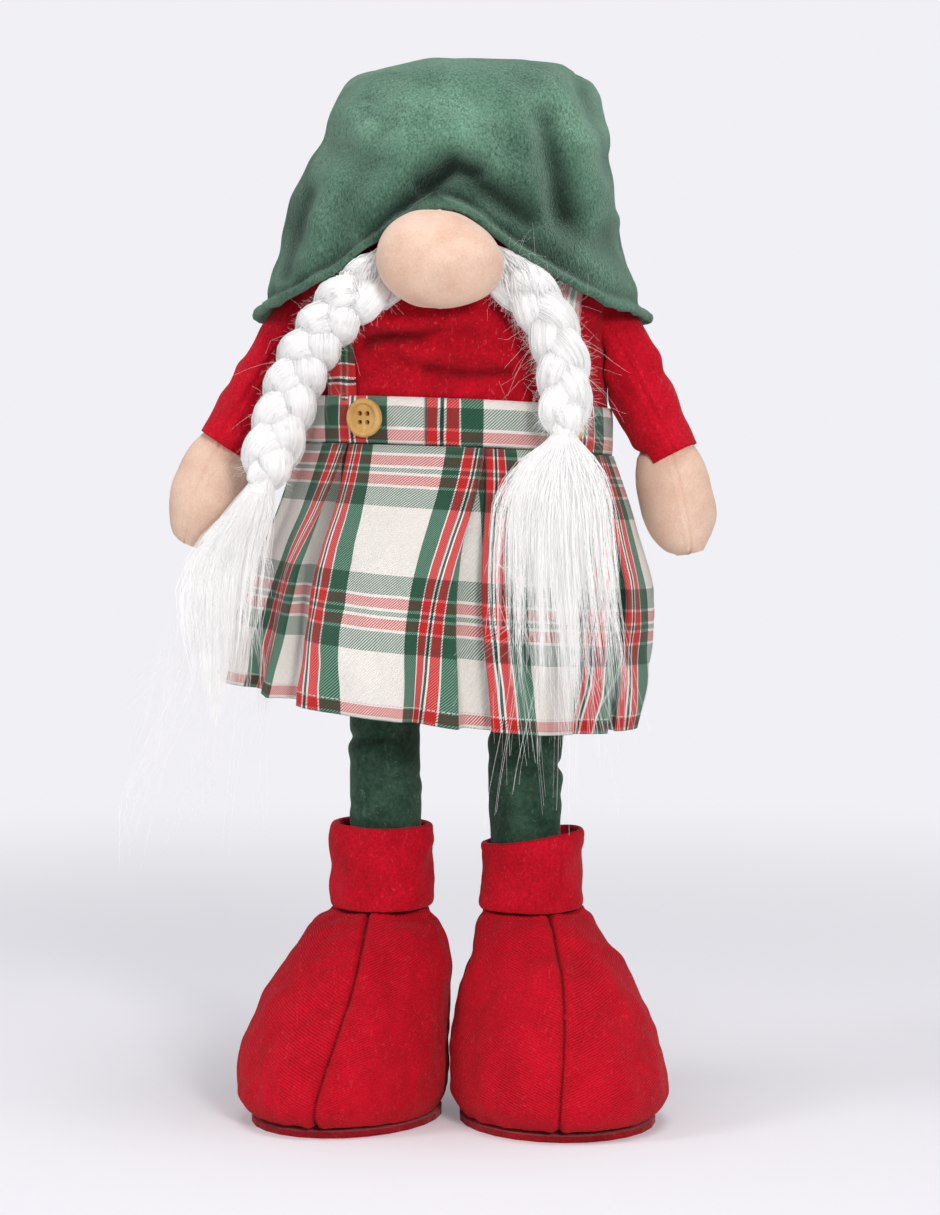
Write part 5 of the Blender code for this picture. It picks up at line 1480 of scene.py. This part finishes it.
def make_tassel(side):
    """The loose hair below the tie, its strands drawn together in clumps."""
    sections = tassel_sections(side, TASSEL_SPREAD)
    clumps, many, _, _ = TASSEL_HAIRS[side]
    steps = 7
    spots = disc(clumps)
    far = np.linalg.norm(spots, axis=1)
    spots *= (0.55 + 0.45 * far)[:, None]
    ends = np.clip(1.05 - 0.14 * far - RANDOM.uniform(0, 0.36, clumps), 0.5, 1.0)
    shares = RANDOM.choice(clumps, many, p=(1.35 - far) / (1.35 - far).sum())
    paths, radii = [], []
    for strand in range(many):
        clump = shares[strand]
        last = ends[clump] * RANDOM.uniform(0.50, 1.0)
        share = np.linspace(0.0, last, steps)
        along = share / ends[clump]
        section = through(sections, share * (TASSEL_ROWS - 1))
        own = disc(1)[0]
        start = 0.55 * spots[clump] + 0.45 * own
        gather = step(share, 0.0, 0.45)[:, None]
        place = (1 - gather) * start + gather * spots[clump]
        loose = (4.6 * (1 - along) ** 0.75 + 1.3) * step(share, 0.02, 0.3)
        sway = 0.7 * share * np.sin(share * 8 + clump * 1.7 + own[0])
        x = section[:, 0] + place[:, 0] * section[:, 3] + loose * own[0] + sway
        y = section[:, 1] + place[:, 1] * section[:, 4] + 0.7 * loose * own[1]
        paths.append(np.stack([x, y, section[:, 2]], axis=1))
        taper = np.interp(share / last, (0, 0.6, 1), (1, 0.75, 0.25))
        radii.append(taper * RANDOM.uniform(0.10, 0.20))
    dress(sweep(f"{side}_tassel", paths, radii, LOOSE_HAIR), "white_hair", f"{side}_tassel")
    make_tassel_core(side, tassel_sections(side, TASSELS))
    make_wisps(side, sections)


def make_tassel_core(side, sections):
    """The dense middle of the tassel, which thins to nothing half way down."""
    columns = 60
    turns = circle(columns)
    rows = []
    for place, (x, y, z, half_width, half_depth) in enumerate(sections[:CORE_ROWS]):
        share = place / (CORE_ROWS - 1)
        full = 0.80 * (1 - step(share, 0.12, 1.0) * 0.88)
        comb = 1.0 + 0.12 * share * np.sin(turns * 9 + 2.0 * math.sin(share * 3)) + 0.05 * np.sin(turns * 29)
        xs, ys = oval(turns, half_width * full, half_depth * full)
        rows.append(np.stack([x + xs * comb, y + ys * comb, np.full(columns, z)], axis=1))
    points, faces = closed_rings(np.array(rows)[::-1])
    uvs = ring_uvs(len(points), faces, columns, 1.6, 2.6)
    dress(mesh_piece(f"{side}_tassel_core", world(points), faces, uvs, LOOSE_HAIR), "white_hair")


def make_wisps(side, sections):
    """Thin hairs that reach past the tassel and spread, many of them in loose groups."""
    _, _, lowest, highest = TASSEL_HAIRS[side]
    lean = {"left": (-0.50, 0.06), "right": (-0.12, 0.20)}[side]
    paths, radii = [], []
    for _ in range(WISP_GROUPS):
        first = sections[RANDOM.integers(6, 40)]
        turn = RANDOM.uniform(0, 2 * math.pi)
        low, aside = RANDOM.uniform(lowest, highest), RANDOM.uniform(*lean)
        bend = RANDOM.normal(size=3) * (7.0, 2.5, 1.5)
        curve = RANDOM.uniform(0.5, 1.7)
        for _ in range(RANDOM.integers(2, 9)):
            own = turn + RANDOM.normal() * 0.2
            edge = np.array((math.cos(own) * first[3], math.sin(own) * first[4], 0.0))
            base = first[:3] + edge * 0.85
            drop = max(base[2] - low + RANDOM.normal() * 8.0, 12.0)
            share = np.linspace(0.0, 1.0, 14)[:, None]
            sideways = aside * drop + RANDOM.normal() * 2.0
            reach = np.array((sideways, RANDOM.uniform(-0.04, 0.03) * drop, -drop))
            path = base + share * reach + np.sin(share * math.pi * curve) * (bend + RANDOM.normal(size=3))
            path[:, 0] = np.clip(path[:, 0], FARTHEST_LEFT, FARTHEST_RIGHT)
            paths.append(path)
            radii.append(np.linspace(1.0, 0.5, 14) * RANDOM.uniform(0.05, 0.10))
    dress(sweep(f"{side}_tassel_wisps", paths, radii, LOOSE_HAIR), "white_hair")


# Floor and the rest

FLOOR_SEEN, FLOOR_LIT = 0.71, 0.80  # how pale the floor is to the camera, and to the light it gives back
FLOOR_TINT = (0.995, 0.985, 1.03)
FLOOR_GLOW = 0.165
FLOOR_REACH = 30.0
FADE_FROM, FADE_TO = 0.35, 1.15  # distances at which the floor turns into the plain background


def make_floor():
    """A pale floor that shows the figure's shadow and turns into the background further away."""
    rows = np.linspace(-FLOOR_REACH, FLOOR_REACH, 3)
    grid = np.array([[(x, y, 0.0) for x in rows] for y in rows])
    paint = Paint("floor", 0.9, specular=0.0)
    seen = seen_rays(paint.tree)
    tone = paint.mix(seen, (FLOOR_LIT,) * 3, tuple(FLOOR_SEEN * part for part in FLOOR_TINT))
    paint.put(paint.shader.inputs["Base Color"], tone)
    glow = paint.add("ShaderNodeEmission", {"Color": (1.0, 0.99, 1.03), "Strength": FLOOR_GLOW})
    near = paint.add("ShaderNodeAddShader", {0: paint.shader.outputs[0], 1: glow})
    far = paint.add("ShaderNodeEmission", {"Color": BACKDROP, "Strength": 1.0})
    away = paint.add("ShaderNodeVectorMath", {0: paint.place}, output="Value", operation="LENGTH")
    inputs = {0: away, 1: FADE_FROM, 2: FADE_TO, 3: 0.0, 4: 1.0}
    fade = paint.add("ShaderNodeMapRange", inputs, interpolation_type="SMOOTHSTEP")
    shown = paint.add("ShaderNodeMixShader", {0: fade, 1: near, 2: far})
    mixed = paint.add("ShaderNodeMixShader", {0: seen, 1: paint.shader.outputs[0], 2: shown})
    paint.tree.links.new(mixed, paint.tree.nodes["Material Output"].inputs["Surface"])
    floor = mesh_piece("floor", grid.reshape(-1, 3), grid_faces(3, 3), material=paint.material)


def make_inner_pieces():
    """The carried-over wooden dowels and pellet bags, which the cloth hides."""
    kinds = (("leg_dowel", DOWEL_WOOD, "dowel_wood"), ("ballast_pouch", PELLET_BAG, "pellet_bag"))
    for side in SIDES:
        for name, material, slot in kinds:
            node = NODES[f"{side}_{name}"]
            node.data.materials.clear()
            node.data.materials.append(material)


def main():
    bpy.context.scene.view_settings.view_transform = "Standard"
    make_camera()
    make_lights()
    make_sky()
    make_floor()
    make_inner_pieces()
    make_hat()
    make_torso()
    make_nose()
    make_arms()
    make_waistband()
    make_skirt()
    make_straps()
    make_buttons()
    make_legs()
    make_boots()
    for side in SIDES:
        make_braid(side)


main()
